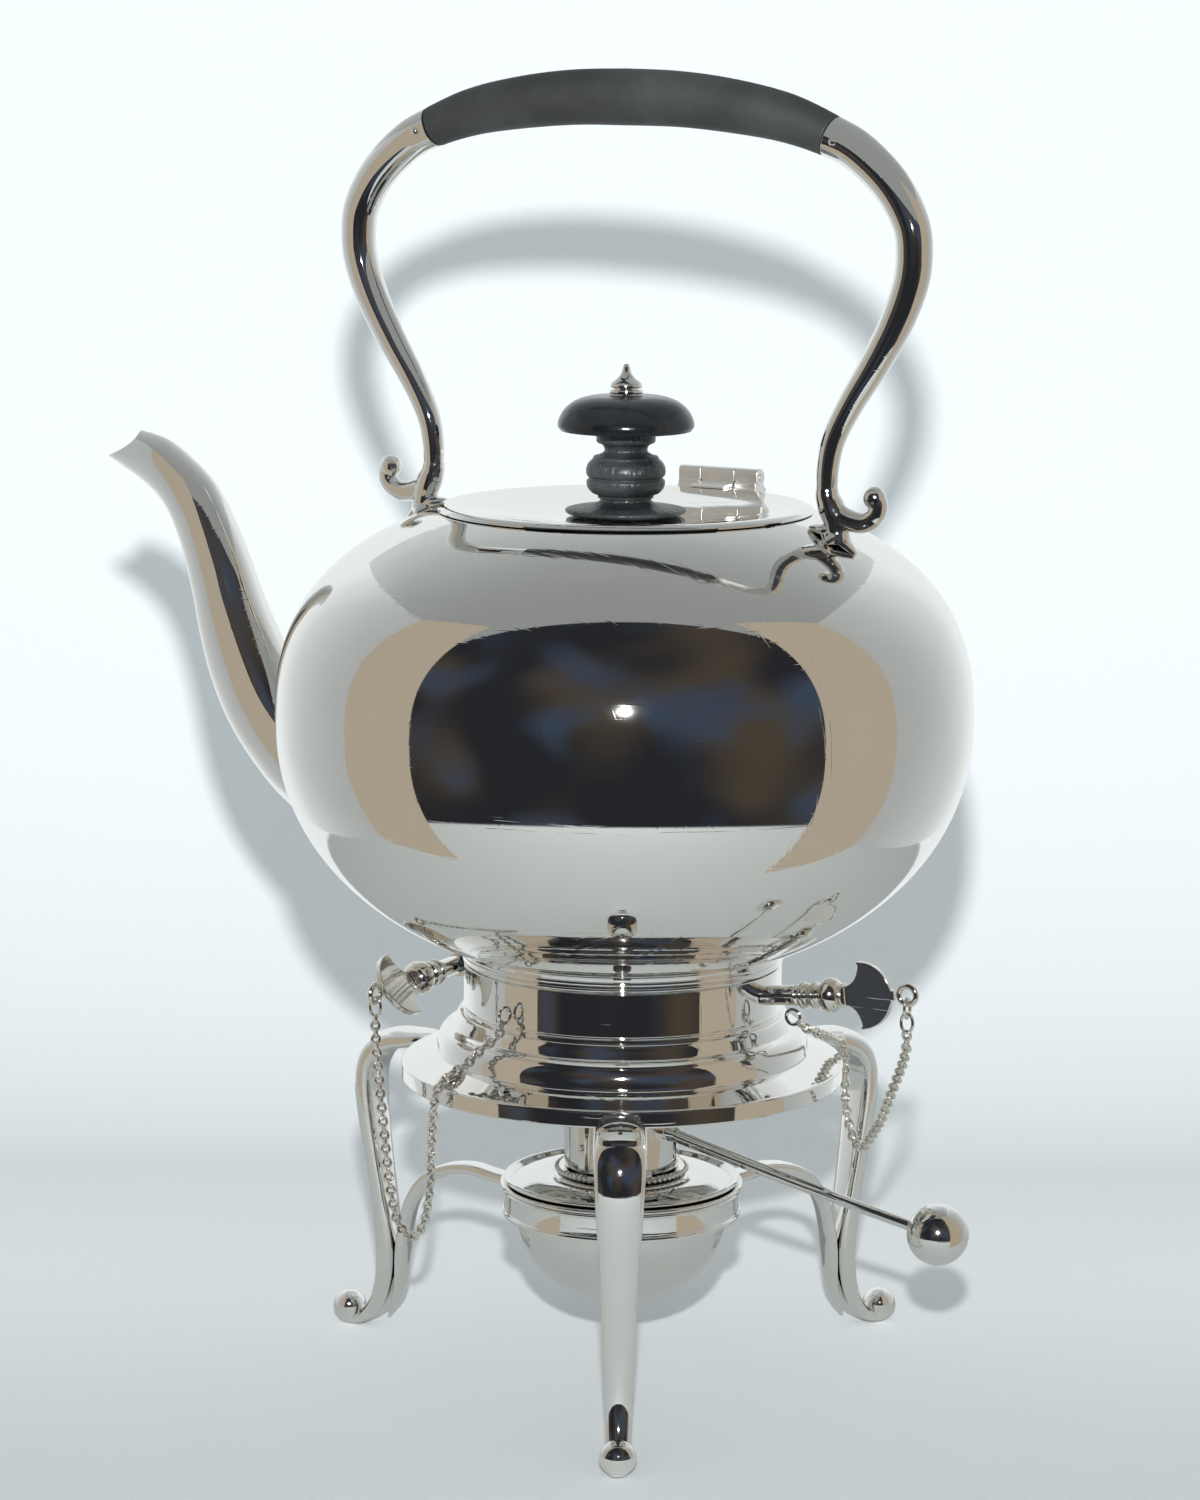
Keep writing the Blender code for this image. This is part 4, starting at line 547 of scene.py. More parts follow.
def strap_section(angle):
    """Half-round section: crowned outside, nearly flat with rounded corners inside."""
    u = cos(angle)
    v = sin(angle)
    if u >= 0:
        return u, v
    return -abs(u) ** 0.5, (abs(v) ** 0.62) * (1 if v > 0 else -1)


def round_section(angle):
    return cos(angle), sin(angle)


def closed_loop(bm, points):
    """A closed loop of edges through points, as its vertices and its edges."""
    verts = [bm.verts.new(point * MM) for point in points]
    return verts, [bm.edges.new((verts[i - 1], verts[i])) for i in range(len(verts))]


def skinned(bm, stations, section, sides, caps=True):
    """Skin a section over stations of a centre and two half axes, and return the rings."""
    shape = [section(tau * n / sides) for n in range(sides)]
    rings = []
    loops = []
    for centre, across, side in stations:
        verts, edges = closed_loop(bm, [centre + across * u + side * v for u, v in shape])
        rings.append(verts)
        loops.append(edges)
    for low, high in zip(loops, loops[1:]):
        bmesh.ops.bridge_loops(bm, edges=low + high)
    if caps:
        for loop in (loops[0], loops[-1]):
            bmesh.ops.contextual_create(bm, geom=loop)
    bmesh.ops.recalc_face_normals(bm, faces=bm.faces)
    return rings


def in_plane(rows):
    """Stations in the plane y = 0 from rows of (x, z, half thickness, half width)."""
    out = []
    for i, (x, z, t, w) in enumerate(rows):
        before = rows[max(i - 1, 0)]
        after = rows[min(i + 1, len(rows) - 1)]
        run = Vector((after[0] - before[0], 0, after[1] - before[1])).normalized()
        out.append((Vector((x, 0, z)), Vector((-run.z, 0, run.x)) * t, Vector((0, w, 0))))
    return out


def along(rows, closed=False):
    """Stations along a free path of (x, y, z, radius), with as little twist as possible."""
    points = [Vector(row[:3]) for row in rows]
    count = len(points)
    across = None
    out = []
    for i, row in enumerate(rows):
        if closed:
            run = points[(i + 1) % count] - points[i - 1]
        else:
            run = points[min(i + 1, count - 1)] - points[max(i - 1, 0)]
        run.normalize()
        if across is None:
            across = run.orthogonal()
        across = (across - run * across.dot(run)).normalized()
        out.append((points[i], across * row[3], run.cross(across) * row[3]))
    return out


def add_ball(bm, place, sizes, sides=24):
    """An ellipsoid from its centre and half sizes."""
    ball = bmesh.ops.create_uvsphere(bm, u_segments=sides, v_segments=sides // 2, radius=1)["verts"]
    bmesh.ops.scale(bm, verts=ball, vec=[size * MM for size in sizes])
    bmesh.ops.translate(bm, verts=ball, vec=[at * MM for at in place])


leg_rows = [(PLATE_R + r * LEG_REACH, z * LEG_TIP_Z, t * LEG_T / 2, w * LEG_W / 2)
            for r, z, t, w in LEG_SHARES]
for side, azimuth in LEG_AZIMUTHS:
    bm = bmesh.new()
    skinned(bm, in_plane(smooth(leg_rows, 5)), strap_section, LEG_SIDES)
    add_ball(bm, (PLATE_R + TOE_SHARE * LEG_REACH, 0, TOE_R), (TOE_R, TOE_R * 1.05, TOE_R), 36)
    for vert in bm.verts:
        vert.co.z = max(vert.co.z, 0)
    moved(bm, Matrix.Rotation(radians(azimuth), 4, "Z"))
    piece("cabriole_leg_" + side, bm, STAND_SILVER, "stand", ["leg_" + side])


# Lamp arms: cast silver straps that leave each leg with a leaf tip, arch over and end in a
# small lug soldered to the lamp ring.
ARM_T = 3.3
ARM_W = 6.0
ARM_SIDES = 20
RING_R = 31.2
RING_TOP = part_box("lamp_ring")[1].z / MM
RING_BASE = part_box("lamp_ring")[0].z / MM
LEG_ARM_ROWS = (12, 11, 10)
# Share of the way from the ring to the leg, share of the climb
ARM_SHARES = ((0.973, 0.28), (0.913, 0.60), (0.790, 0.86), (0.613, 1.008), (0.409, 1.060),
              (0.218, 1.022), (0.090, 1.004), (0.0, 1.0))
leg_stations = in_plane(leg_rows)
arm_rows = []
for share, row in zip((0.25, 0.75, 1.0), LEG_ARM_ROWS):
    centre, across, _ = leg_stations[row]
    place = centre - across * (1 + (0.2 + ARM_T / 2) / across.length)
    arm_rows.append((place.x, place.z, ARM_T / 2 * share, ARM_W / 2 * share))
start_r, start_z = arm_rows[-1][:2]
end_r = RING_R + 0.3
end_z = (RING_TOP + RING_BASE) / 2
arm_rows += [(end_r + r * (start_r - end_r), start_z + z * (end_z - start_z), ARM_T / 2, ARM_W / 2)
             for r, z in ARM_SHARES]
for side, azimuth in LEG_AZIMUTHS:
    bm = bmesh.new()
    skinned(bm, in_plane(smooth(arm_rows, 5)), strap_section, ARM_SIDES)
    add_ball(bm, (end_r + 0.4, 0, end_z), (1.5, 3.2, 3.4))
    moved(bm, Matrix.Rotation(radians(azimuth), 4, "Z"))
    piece("lamp_bracket_" + side, bm, STAND_SILVER, "stand", ["lamp_arm_" + side])


# Lamp ring: a silver band with a beaded top and foot, which the lamp drops into.
RING_WALL = 2.4
ring_outline = [(RING_R - RING_WALL, RING_TOP), *arc(RING_R - 0.45, RING_TOP - 0.6, 0.6, 0.6, 90, -60, 8),
                (RING_R - 0.5, RING_TOP - 1.3), (RING_R - 0.5, RING_BASE + 1.7),
                *arc(RING_R - 0.45, RING_BASE + 0.75, 0.6, 0.75, 60, -90, 8),
                (RING_R - RING_WALL, RING_BASE)]
piece("lamp_band", turned(ring_outline), STAND_SILVER, "stand", ["lamp_ring"])


# Lamp: a spun silver bowl with a rolled flange that rests on the ring, closed by a domed
# shoulder with a bead round its edge. The burner screws into the middle.
FLANGE_R = 31.9
FLANGE_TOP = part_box("lamp_font")[1].z / MM
FONT_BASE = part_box("lamp_font")[0].z / MM
FONT_R = 27.4
FONT_NECK_BASE = 43.0
FONT_WALL = 1.0
CAP_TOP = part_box("lamp_shoulder")[1].z / MM
CAP_R = 30.9
GALLERY_R = 17.7
GALLERY_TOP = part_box("burner_gallery")[1].z / MM
GALLERY_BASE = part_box("burner_gallery")[0].z / MM
BURNER_BORE = 9.3
bowl_h = FONT_NECK_BASE - FONT_BASE
font_outline = [(FONT_R - FONT_WALL, FLANGE_TOP - 0.1),
                *arc(FLANGE_R - 0.55, FLANGE_TOP - 0.55, 0.55, 0.55, 90, -90, 8),
                (FONT_R, FLANGE_TOP - 1.1)]
font_outline += arc(0, FONT_NECK_BASE, FONT_R, bowl_h, 0, -90, 30)
font_outline += arc(0, FONT_NECK_BASE, FONT_R - FONT_WALL, bowl_h - FONT_WALL, -90, 0, 30)
piece("lamp_bowl", turned(font_outline), LAMP_SILVER, "lamp", ["lamp_font"])

cap_outline = [(BURNER_BORE, CAP_TOP), (GALLERY_R - 1.2, CAP_TOP), (GALLERY_R - 0.4, CAP_TOP - 0.35)]
cap_outline += smooth([(GALLERY_R - 0.2, CAP_TOP - 0.8), (GALLERY_R + 2.5, CAP_TOP - 0.35),
                       (GALLERY_R + 6.5, CAP_TOP - 0.65), (CAP_R - 3.4, CAP_TOP - 1.45)], 5)
cap_outline += [(CAP_R - 2.2, CAP_TOP - 1.85), *arc(CAP_R - 0.8, CAP_TOP - 1.55, 0.8, 0.65, 150, -90, 9),
                (BURNER_BORE, CAP_TOP - 2.2)]
piece("lamp_dome", turned(cap_outline), LAMP_SILVER, "lamp", ["lamp_shoulder"])


# Burner: a gallery with a milled rope edge round a tube that holds a woven cotton wick.
ROPE_STRANDS = 66
ROPE_STEPS = 528
ROPE_SIDES = 10
ROPE_R = 0.72
STRAND_RELIEF = 0.22
BURNER_R = 9.0
BURNER_WALL = 0.8
BURNER_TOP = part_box("burner_tube")[1].z / MM
BURNER_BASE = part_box("burner_tube")[0].z / MM
WICK_R = BURNER_R - BURNER_WALL - 0.3
COTTON_DARK = (0.70, 0.64, 0.50, 1)
COTTON_PALE = (0.86, 0.82, 0.70, 1)
COTTON_BURNT = (0.20, 0.15, 0.10, 1)

rope_mid = (GALLERY_TOP + GALLERY_BASE) / 2
gallery = turned([(BURNER_BORE, GALLERY_TOP - 0.15), (GALLERY_R - 2.4, GALLERY_TOP - 0.15),
                  (GALLERY_R - 1.4, GALLERY_TOP), (GALLERY_R - 0.6, rope_mid),
                  (GALLERY_R - 1.4, GALLERY_BASE), (BURNER_BORE, GALLERY_BASE)], 120)
rope = bmesh.new()
rope_loops = []
for i in range(ROPE_STEPS):
    turn = tau * i / ROPE_STEPS
    out_way = Vector((cos(turn), sin(turn), 0))
    points = []
    for n in range(ROPE_SIDES):
        angle = tau * n / ROPE_SIDES
        swell = ROPE_R * (1 - STRAND_RELIEF * (1 - cos(ROPE_STRANDS * turn + 2 * angle)))
        rise = Vector((0, 0, rope_mid + swell * sin(angle)))
        points.append(out_way * (GALLERY_R - ROPE_R + swell * cos(angle)) + rise)
    rope_loops.append(closed_loop(rope, points)[1])
for i, low in enumerate(rope_loops):
    bmesh.ops.bridge_loops(rope, edges=low + rope_loops[(i + 1) % ROPE_STEPS])
bmesh.ops.recalc_face_normals(rope, faces=rope.faces)
piece("gallery_disc", gallery, LAMP_SILVER, "lamp", ["burner_gallery"])
piece("gallery_rope", rope, PIN_SILVER, "lamp")

tube_outline = [(BURNER_R - BURNER_WALL, BURNER_TOP),
                *arc(BURNER_R - 0.15, BURNER_TOP - 0.3, 0.3, 0.3, 90, -60, 6),
                (BURNER_R, BURNER_TOP - 0.8), (BURNER_R, BURNER_BASE),
                (BURNER_R - BURNER_WALL, BURNER_BASE)]
piece("wick_tube", turned(tube_outline, 96), LAMP_SILVER, "lamp", ["burner_tube"])

COTTON, nodes, links, shader, where = new_finish("cotton_wick")
shader.inputs["Roughness"].default_value = 0.95
shader.inputs["Sheen Weight"].default_value = 0.3
weave = nodes.new("ShaderNodeTexWave")
weave.inputs["Scale"].default_value = 500
weave.inputs["Distortion"].default_value = 3
links.new(where, weave.inputs["Vector"])
thread = mixed_colour(nodes, links, weave.outputs["Fac"], COTTON_DARK, COTTON_PALE)
burnt = ramp_between(nodes, links, cloudy(nodes, links, where, 160, 2), 0.45, 0.70)
links.new(mixed_colour(nodes, links, burnt, thread, COTTON_BURNT), shader.inputs["Base Color"])
bumped(nodes, links, shader, weave.outputs["Fac"], 0.6, 0.3)
wick_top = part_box("burner_wick")[1].z / MM
wick_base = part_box("burner_wick")[0].z / MM
wick_outline = [(0, wick_base), (WICK_R, wick_base), (WICK_R, wick_top - 0.5),
                *arc(WICK_R - 0.5, wick_top - 0.5, 0.5, 0.5, 0, 70, 3), (WICK_R * 0.5, wick_top - 0.25),
                (0, wick_top - 0.4)]
piece("cotton_plug", turned(wick_outline, 48, closed=False), COTTON, "lamp",
      ["burner_wick"])


# Regulator: a silver sleeve round the burner with an air window, turned by a lever with a
# ball end. A strip with a screw covers its seam.
SLEEVE_R = 15.0
SLEEVE_WALL = 0.8
SLEEVE_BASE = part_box("regulator_sleeve")[0].z / MM
SLEEVE_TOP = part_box("regulator_sleeve")[1].z / MM
SLEEVE_STEPS = 120
WINDOW_W = 6.4
WINDOW_H = 6.0
WINDOW_BASE = SLEEVE_BASE + (SLEEVE_TOP - SLEEVE_BASE) / 8
WINDOW_AZ = 16
STRIP_AZ = -102
STRIP_W = 2.4
SCREW_R = 0.9
LEVER_AZ = -3.1
LEVER_REACH = 94.1
LEVER_ROOT_R = 1.9
LEVER_END_R = 1.4
LEVER_DROP = 15.0
LEVER_BALL_R = 7.8
LEVER_STEPS = 12
LEVER_SAG = 0.36
sleeve_h = SLEEVE_TOP - SLEEVE_BASE
bm = bmesh.new()
bmesh.ops.create_cone(bm, cap_ends=False, segments=SLEEVE_STEPS, radius1=SLEEVE_R * MM,
                      radius2=SLEEVE_R * MM, depth=sleeve_h * MM)
bmesh.ops.translate(bm, verts=bm.verts, vec=(0, 0, (SLEEVE_BASE + SLEEVE_TOP) / 2 * MM))
for height in (WINDOW_BASE, WINDOW_BASE + WINDOW_H):
    bmesh.ops.bisect_plane(bm, geom=[*bm.verts, *bm.edges, *bm.faces], plane_co=(0, 0, height * MM),
                           plane_no=(0, 0, 1))
window_half = asin(WINDOW_W / 2 / SLEEVE_R)
opened = []
for face in bm.faces:
    middle = face.calc_center_median()
    turn = abs(atan2(middle.y, middle.x) - radians(WINDOW_AZ))
    if turn < window_half and WINDOW_BASE < middle.z / MM < WINDOW_BASE + WINDOW_H:
        opened.append(face)
bmesh.ops.delete(bm, geom=opened, context="FACES")
sleeve = piece("air_sleeve", bm, LAMP_SILVER, "regulator", ["regulator_sleeve"], crease=180)
wall = sleeve.modifiers.new("Wall", "SOLIDIFY")
wall.thickness = SLEEVE_WALL * MM
wall.offset = -1
rounded = sleeve.modifiers.new("Rounded edges", "BEVEL")
rounded.width = 0.15 * MM
rounded.segments = 2
rounded.limit_method = "ANGLE"
rounded.angle_limit = radians(60)
rounded.harden_normals = True
lip = turned([(SLEEVE_R - SLEEVE_WALL, SLEEVE_TOP - 0.5),
              *arc(SLEEVE_R - 0.2, SLEEVE_TOP - 0.45, 0.45, 0.45, 90, -90, 8)], SLEEVE_STEPS)
piece("sleeve_lip", lip, LAMP_SILVER, "regulator")


def plate(loops, thickness):
    """A flat plate centred on the XY plane, from an outline and any holes in it."""
    bm = bmesh.new()
    edges = []
    for loop in loops:
        verts = [bm.verts.new((x * MM, y * MM, -thickness / 2 * MM)) for x, y in loop]
        edges += [bm.edges.new((verts[i - 1], verts[i])) for i in range(len(verts))]
    if len(loops) == 1:
        bmesh.ops.contextual_create(bm, geom=edges)
    else:
        bmesh.ops.triangle_fill(bm, edges=edges, use_beauty=True)
    grown = bmesh.ops.extrude_face_region(bm, geom=list(bm.faces))
    raised = [item for item in grown["geom"] if isinstance(item, bmesh.types.BMVert)]
    bmesh.ops.translate(bm, verts=raised, vec=(0, 0, thickness * MM))
    bmesh.ops.recalc_face_normals(bm, faces=bm.faces)
    return bm


def circle(r, steps, start=0.0, end=360.0, centre=(0, 0)):
    """Points round a circle or an arc in degrees, without the last one when it is whole."""
    count = steps if end - start == 360 else steps + 1
    return [(centre[0] + r * cos(radians(start + (end - start) * i / steps)),
             centre[1] + r * sin(radians(start + (end - start) * i / steps))) for i in range(count)]


def bar_outline(half_x, half_y, corner):
    """A rectangle with rounded corners."""
    out = []
    for x, y, start in ((1, 1, 0), (-1, 1, 90), (-1, -1, 180), (1, -1, 270)):
        out += circle(corner, 4, start, start + 90, (x * (half_x - corner), y * (half_y - corner)))
    return out


# Axes whose Z points along X and whose Y points up
OUTWARDS = Matrix(((0, 0, 1, 0), (1, 0, 0, 0), (0, 1, 0, 0), (0, 0, 0, 1)))


def facing(azimuth, r, z):
    """Frame at a point round the stand, whose Z points outwards and whose Y points up."""
    return Matrix.Rotation(radians(azimuth), 4, "Z") @ Matrix.Translation((r, 0, z)) @ OUTWARDS


strip_mid = (SLEEVE_BASE + SLEEVE_TOP) / 2
strip = plate([bar_outline(STRIP_W / 2, sleeve_h / 2 - 0.15, 0.3)], 0.8)
moved(strip, facing(STRIP_AZ, SLEEVE_R + 0.5, strip_mid))
piece("seam_strip", strip, LAMP_SILVER, "regulator", ["regulator_strip"], edge=0.2)
screw = turned([(0, 0), (SCREW_R, 0), (SCREW_R, 0.35), *arc(SCREW_R - 0.35, 0.35, 0.35, 0.35, 0, 90, 4),
                (0, 0.7)], 24, closed=False)
moved(screw, facing(STRIP_AZ, SLEEVE_R + 0.9, strip_mid))
piece("strip_screw", screw, PIN_SILVER, "regulator", ["regulator_screw"])

ball_z = SLEEVE_TOP - LEVER_ROOT_R * 2 - LEVER_DROP
lever_start = (SLEEVE_R - 0.3, ball_z + LEVER_DROP)
lever_end = (LEVER_REACH - LEVER_BALL_R + 0.6, ball_z + 1.0)
lever_rows = [(lever_start[0], 0, lever_start[1], LEVER_ROOT_R * 1.25),
              (lever_start[0] + 1.6, 0, lever_start[1] - 0.2, LEVER_ROOT_R * 1.05)]
for i in range(LEVER_STEPS + 1):
    share = 0.04 + 0.96 * i / LEVER_STEPS
    straight_z = lever_start[1] + (lever_end[1] - lever_start[1]) * share
    lever_rows.append((lever_start[0] + (lever_end[0] - lever_start[0]) * share, 0,
                       straight_z - LEVER_SAG * sin(pi * share),
                       LEVER_ROOT_R * 0.92 + (LEVER_END_R - LEVER_ROOT_R * 0.92) * share))
bm = bmesh.new()
skinned(bm, along(smooth(lever_rows, 3)), round_section, 20)
add_ball(bm, (lever_end[0] + 0.1, 0, lever_end[1]), (1.5, 1.9, 1.9), 20)
moved(bm, Matrix.Rotation(radians(LEVER_AZ), 4, "Z"))
piece("lever_stem", bm, LAMP_SILVER, "regulator", ["lever_rod"])
bm = bmesh.new()
add_ball(bm, (LEVER_REACH, 0, ball_z), (LEVER_BALL_R, LEVER_BALL_R, LEVER_BALL_R), 64)
moved(bm, Matrix.Rotation(radians(LEVER_AZ), 4, "Z"))
piece("lever_knob", bm, LAMP_SILVER, "regulator", ["lever_ball"])


# Kettle body: a spun silver bowl, fuller than an ellipse at the shoulder, open at the mouth,
# with a rolled lip inside it.
BODY_R = 90.0
BODY_TOP_H = 59.2
BODY_BASE_H = 67.0
BODY_TOP_POWER = 2.45
BODY_BASE_POWER = 2.12
BODY_WALL = 1.2
BODY_STEPS = 192
BODY_ROWS = 44
BODY_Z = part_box("kettle_body")[0].z / MM + BODY_BASE_H
MOUTH_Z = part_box("kettle_body")[1].z / MM
FOOT_R = 41.7


def body_half(share, power):
    return max(1 - share ** power, 0) ** (1 / power)


def body_under(r):
    """Height of the body's underside at radius r."""
    return BODY_Z - BODY_BASE_H * body_half(r / BODY_R, BODY_BASE_POWER)


def body_over(r):
    """Height of the body's upper surface at radius r."""
    return BODY_Z + BODY_TOP_H * body_half(r / BODY_R, BODY_TOP_POWER)


def inside_body(x, y, z, offset=0.0):
    """Whether a point lies inside the body's outer surface, grown by offset."""
    height, power = (BODY_TOP_H, BODY_TOP_POWER) if z > BODY_Z else (BODY_BASE_H, BODY_BASE_POWER)
    share = hypot(x, y) / (BODY_R + offset)
    climb = abs(z - BODY_Z) / (height + offset)
    return share ** power + climb ** power < 1


def body_curve(offset, rows):
    """The body's outline from the top of the axis to its foot."""
    top = []
    base = []
    for i in range(rows + 1):
        t = pi / 2 * i / rows
        for out, side, height, power in ((top, 1, BODY_TOP_H, BODY_TOP_POWER),
                                         (base, -1, BODY_BASE_H, BODY_BASE_POWER)):
            share = sin(t) ** 1.15
            r = (BODY_R + offset) * body_half(share, power) if i < rows else 0
            out.append((r, BODY_Z + side * (height + offset) * share))
    return [*reversed(top), *base[1:]]


MOUTH_R = 46.577
mouth_bore = MOUTH_R - BODY_WALL
outer = [(r, z) for r, z in body_curve(0, BODY_ROWS) if z < body_over(MOUTH_R + 0.6) - 0.2]
inner = [(r, z) for r, z in body_curve(-BODY_WALL, BODY_ROWS // 2) if z < MOUTH_Z - 3.2]
lip_z = MOUTH_Z - 0.35
body_outline = [(0, inner[-1][1]), *reversed(inner[:-1]), (mouth_bore, MOUTH_Z - 2.4),
                (mouth_bore, lip_z), *arc(MOUTH_R - 0.5, lip_z, 0.6, 0.35, 180, 40, 5),
                (MOUTH_R + 0.6, body_over(MOUTH_R + 0.6)), *outer]
body = turned(body_outline, BODY_STEPS, closed=False)
piece("body_shell", body, KETTLE_SILVER, "kettle", ["kettle_body"], crease=60)


# Kettle foot: a moulded silver ring soldered under the body, which sits on the collar. A tab
# inside it takes the lock pin.
FOOT_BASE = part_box("kettle_foot")[0].z / MM
FOOT_WALL = 2.4
foot_top = body_under(FOOT_R)
foot_outline = [(FOOT_R + 0.25, foot_top + 0.3), (FOOT_R + 0.1, foot_top - 0.5),
                *arc(FOOT_R - 0.55, foot_top - 1.25, 0.55, 0.7, 80, -60, 7),
                (FOOT_R - 0.5, FOOT_BASE + 1.3),
                *arc(FOOT_R - 0.55, FOOT_BASE + 0.6, 0.55, 0.6, 70, -90, 8),
                (FOOT_R - FOOT_WALL, FOOT_BASE), (FOOT_R - FOOT_WALL, body_under(FOOT_R - FOOT_WALL) + 0.3)]
piece("foot_moulding", turned(foot_outline), KETTLE_SILVER, "kettle", ["kettle_foot"])


def softened(name, node, finish, body, edge):
    """A piece made from a flat node of the model, with its worn edges rounded."""
    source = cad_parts[node]
    bm = bmesh.new()
    bm.from_mesh(source.data)
    bm.transform(source.matrix_world)
    bmesh.ops.remove_doubles(bm, verts=bm.verts, dist=0.002 * MM)
    bmesh.ops.dissolve_limit(bm, angle_limit=radians(3), verts=bm.verts, edges=bm.edges)
    bmesh.ops.recalc_face_normals(bm, faces=bm.faces)
    bmesh.ops.translate(bm, verts=bm.verts, vec=(-AXIS_X, 0, 0))
    piece(name, bm, finish, body, [node], edge=edge, soften=35)


softened("lock_tab", "kettle_lock_tab", KETTLE_SILVER, "kettle", 0.2)


# Kettle hinge: a knuckle under the body's left side between two lugs on the collar, and a
# long sleeve that guides the draw pin. A second sleeve for the lock pin is on the right.
PIN_R = 1.4
PIN_BORE = PIN_R + 0.08
HINGE_OUT = 5.2
HINGE_X = -(COLLAR_R + HINGE_OUT)
PIN_Z = 105.7
KNUCKLE_R = 3.2
KNUCKLE_W = 7.0
LUG_W = 2.6
LUG_OUTER = KNUCKLE_W / 2 + 0.3 + LUG_W
SLEEVE_L = 10.0
PIN_SLEEVE_R = 2.55
LOCK_TILT = radians(6.6)
LOCK_Z = 106.3
HINGE_PIN_START = LUG_OUTER + 0.3 + SLEEVE_L
LOCK_SLEEVE_START = 0.593
LOCK_PIN_START = LOCK_SLEEVE_START + SLEEVE_L
upright = Matrix.Rotation(pi / 2, 4, "X")
pin_hole = circle(PIN_BORE, 24)
strap_in = -(FOOT_R + 0.3) - HINGE_X
knuckle_outline = [(strap_in, body_under(FOOT_R) - PIN_Z + 0.3),
                   (strap_in - 3.2, body_under(FOOT_R + 3.5) - PIN_Z + 0.3),
                   *circle(KNUCKLE_R, 18, 110, 290)]
bm = moved(plate([knuckle_outline, pin_hole], KNUCKLE_W), Matrix.Translation((HINGE_X, 0, PIN_Z)) @ upright)
piece("knuckle", bm, KETTLE_SILVER, "kettle", ["kettle_knuckle"], edge=0.3)
lug_in = HINGE_OUT - 0.1
lug_outline = [(lug_in, -KNUCKLE_R), (lug_in, KNUCKLE_R), *circle(KNUCKLE_R, 18, 90, 270)]
for side, sign in (("front", -1), ("rear", 1)):
    place = (HINGE_X, sign * (LUG_OUTER - LUG_W / 2), PIN_Z)
    bm = moved(plate([lug_outline, pin_hole], LUG_W), Matrix.Translation(place) @ upright)
    piece("lug_" + side, bm, STAND_SILVER, "stand", ["hinge_lug_" + side], edge=0.3)

# Each pin's frame has its Z along the pin, away from the stand, and its X upwards.
HINGE_PIN_FRAME = (Matrix.Translation((HINGE_X, 0, PIN_Z)) @ Matrix.Rotation(pi / 2, 4, "X")
                   @ Matrix.Rotation(pi / 2, 4, "Z"))
LOCK_PIN_FRAME = Matrix.Translation((COLLAR_R, 0, LOCK_Z)) @ Matrix.Rotation(pi / 2 - LOCK_TILT, 4, "Y")
for name, node, pin_frame, start in (("hinge_guide", "hinge_sleeve", HINGE_PIN_FRAME, LUG_OUTER + 0.1),
                                     ("lock_guide", "lock_sleeve", LOCK_PIN_FRAME, 0.1)):
    end = (HINGE_PIN_START if node == "hinge_sleeve" else LOCK_PIN_START) - 0.05
    outline = [(PIN_BORE, start), (PIN_SLEEVE_R, start), (PIN_SLEEVE_R, end - 1.5),
               *arc(PIN_SLEEVE_R, end - 0.9, 0.28, 0.5, -80, 80, 6), (PIN_SLEEVE_R - 0.1, end),
               (PIN_BORE, end)]
    piece(name, moved(turned(outline, 48), pin_frame), STAND_SILVER, "stand", [node])


# Draw pins: turned silver pins with a spool, a ball and a half-moon thumb piece, and an eye
# at the end for the chain. The hinge pin's thumb piece is rolled over; the lock pin's stands up.
BOSS_R = 3.45
BOSS_END = 5.5
BALL_R = 4.45
BALL_END = 11.9
DISC_R = 3.0
DISC_END = 12.8
CRESCENT_START = 12.9
CRESCENT_CENTRE = 17.3
CRESCENT_R = 8.7
CRESCENT_T = 1.8
CRESCENT_NECK_R = 2.5
CRESCENT_TAB_R = 1.3
EYE_AT = 30.3
EYE_R = 2.35
EYE_WIRE_R = 0.75
LINK_R = 2.5
LINK_SQUEEZE = 0.64
LINK_WIRE_R = 0.45
LINK_DROP = 3.35
LINK_PITCH = 3.8
HINGE_PIN_TIP = -24.3
LOCK_PIN_TIP = -11.55
THUMB_ROLL = radians(35)


def add_ring(bm, matrix, r, wire_r, steps=32, sides=10, squeeze=1.0):
    """A wire ring in its frame's XY plane, narrowed along X by squeeze."""
    loops = []
    for i in range(steps):
        turn = tau * i / steps
        centre = Vector((r * squeeze * cos(turn), r * sin(turn), 0))
        out_way = Vector((cos(turn), squeeze * sin(turn), 0)).normalized()
        points = []
        for n in range(sides):
            angle = tau * n / sides
            rim = centre + (out_way * cos(angle) + Vector((0, 0, sin(angle)))) * wire_r
            points.append(matrix @ rim)
        loops.append(closed_loop(bm, points)[1])
    for i, low in enumerate(loops):
        bmesh.ops.bridge_loops(bm, edges=low + loops[(i + 1) % steps])


def crescent_outline():
    """Half-moon thumb piece along its pin: neck, two horns and a tab at the eye."""
    tab = CRESCENT_CENTRE + CRESCENT_R * cos(asin(CRESCENT_TAB_R / CRESCENT_R))
    edge = degrees(asin(CRESCENT_TAB_R / CRESCENT_R))
    lower = circle(CRESCENT_R, 16, -86, -edge, (CRESCENT_CENTRE, 0))
    nose = [(tab + 0.9, -CRESCENT_TAB_R), (tab + 0.9, CRESCENT_TAB_R)]
    scoop = [(CRESCENT_START + (CRESCENT_CENTRE - CRESCENT_START) * cos(radians(t)),
              CRESCENT_R - (CRESCENT_R - CRESCENT_NECK_R) * sin(radians(t))) for t in range(8, 91, 8)]
    upper = [(x, -y) for x, y in reversed(lower)]
    horn = [(CRESCENT_CENTRE - 0.25, CRESCENT_R + 0.05), (CRESCENT_CENTRE - 0.55, CRESCENT_R - 0.35)]
    back = [(x, -y) for x, y in reversed([*horn, *scoop])]
    return [*lower, *nose, *upper, *horn, *scoop, *back]


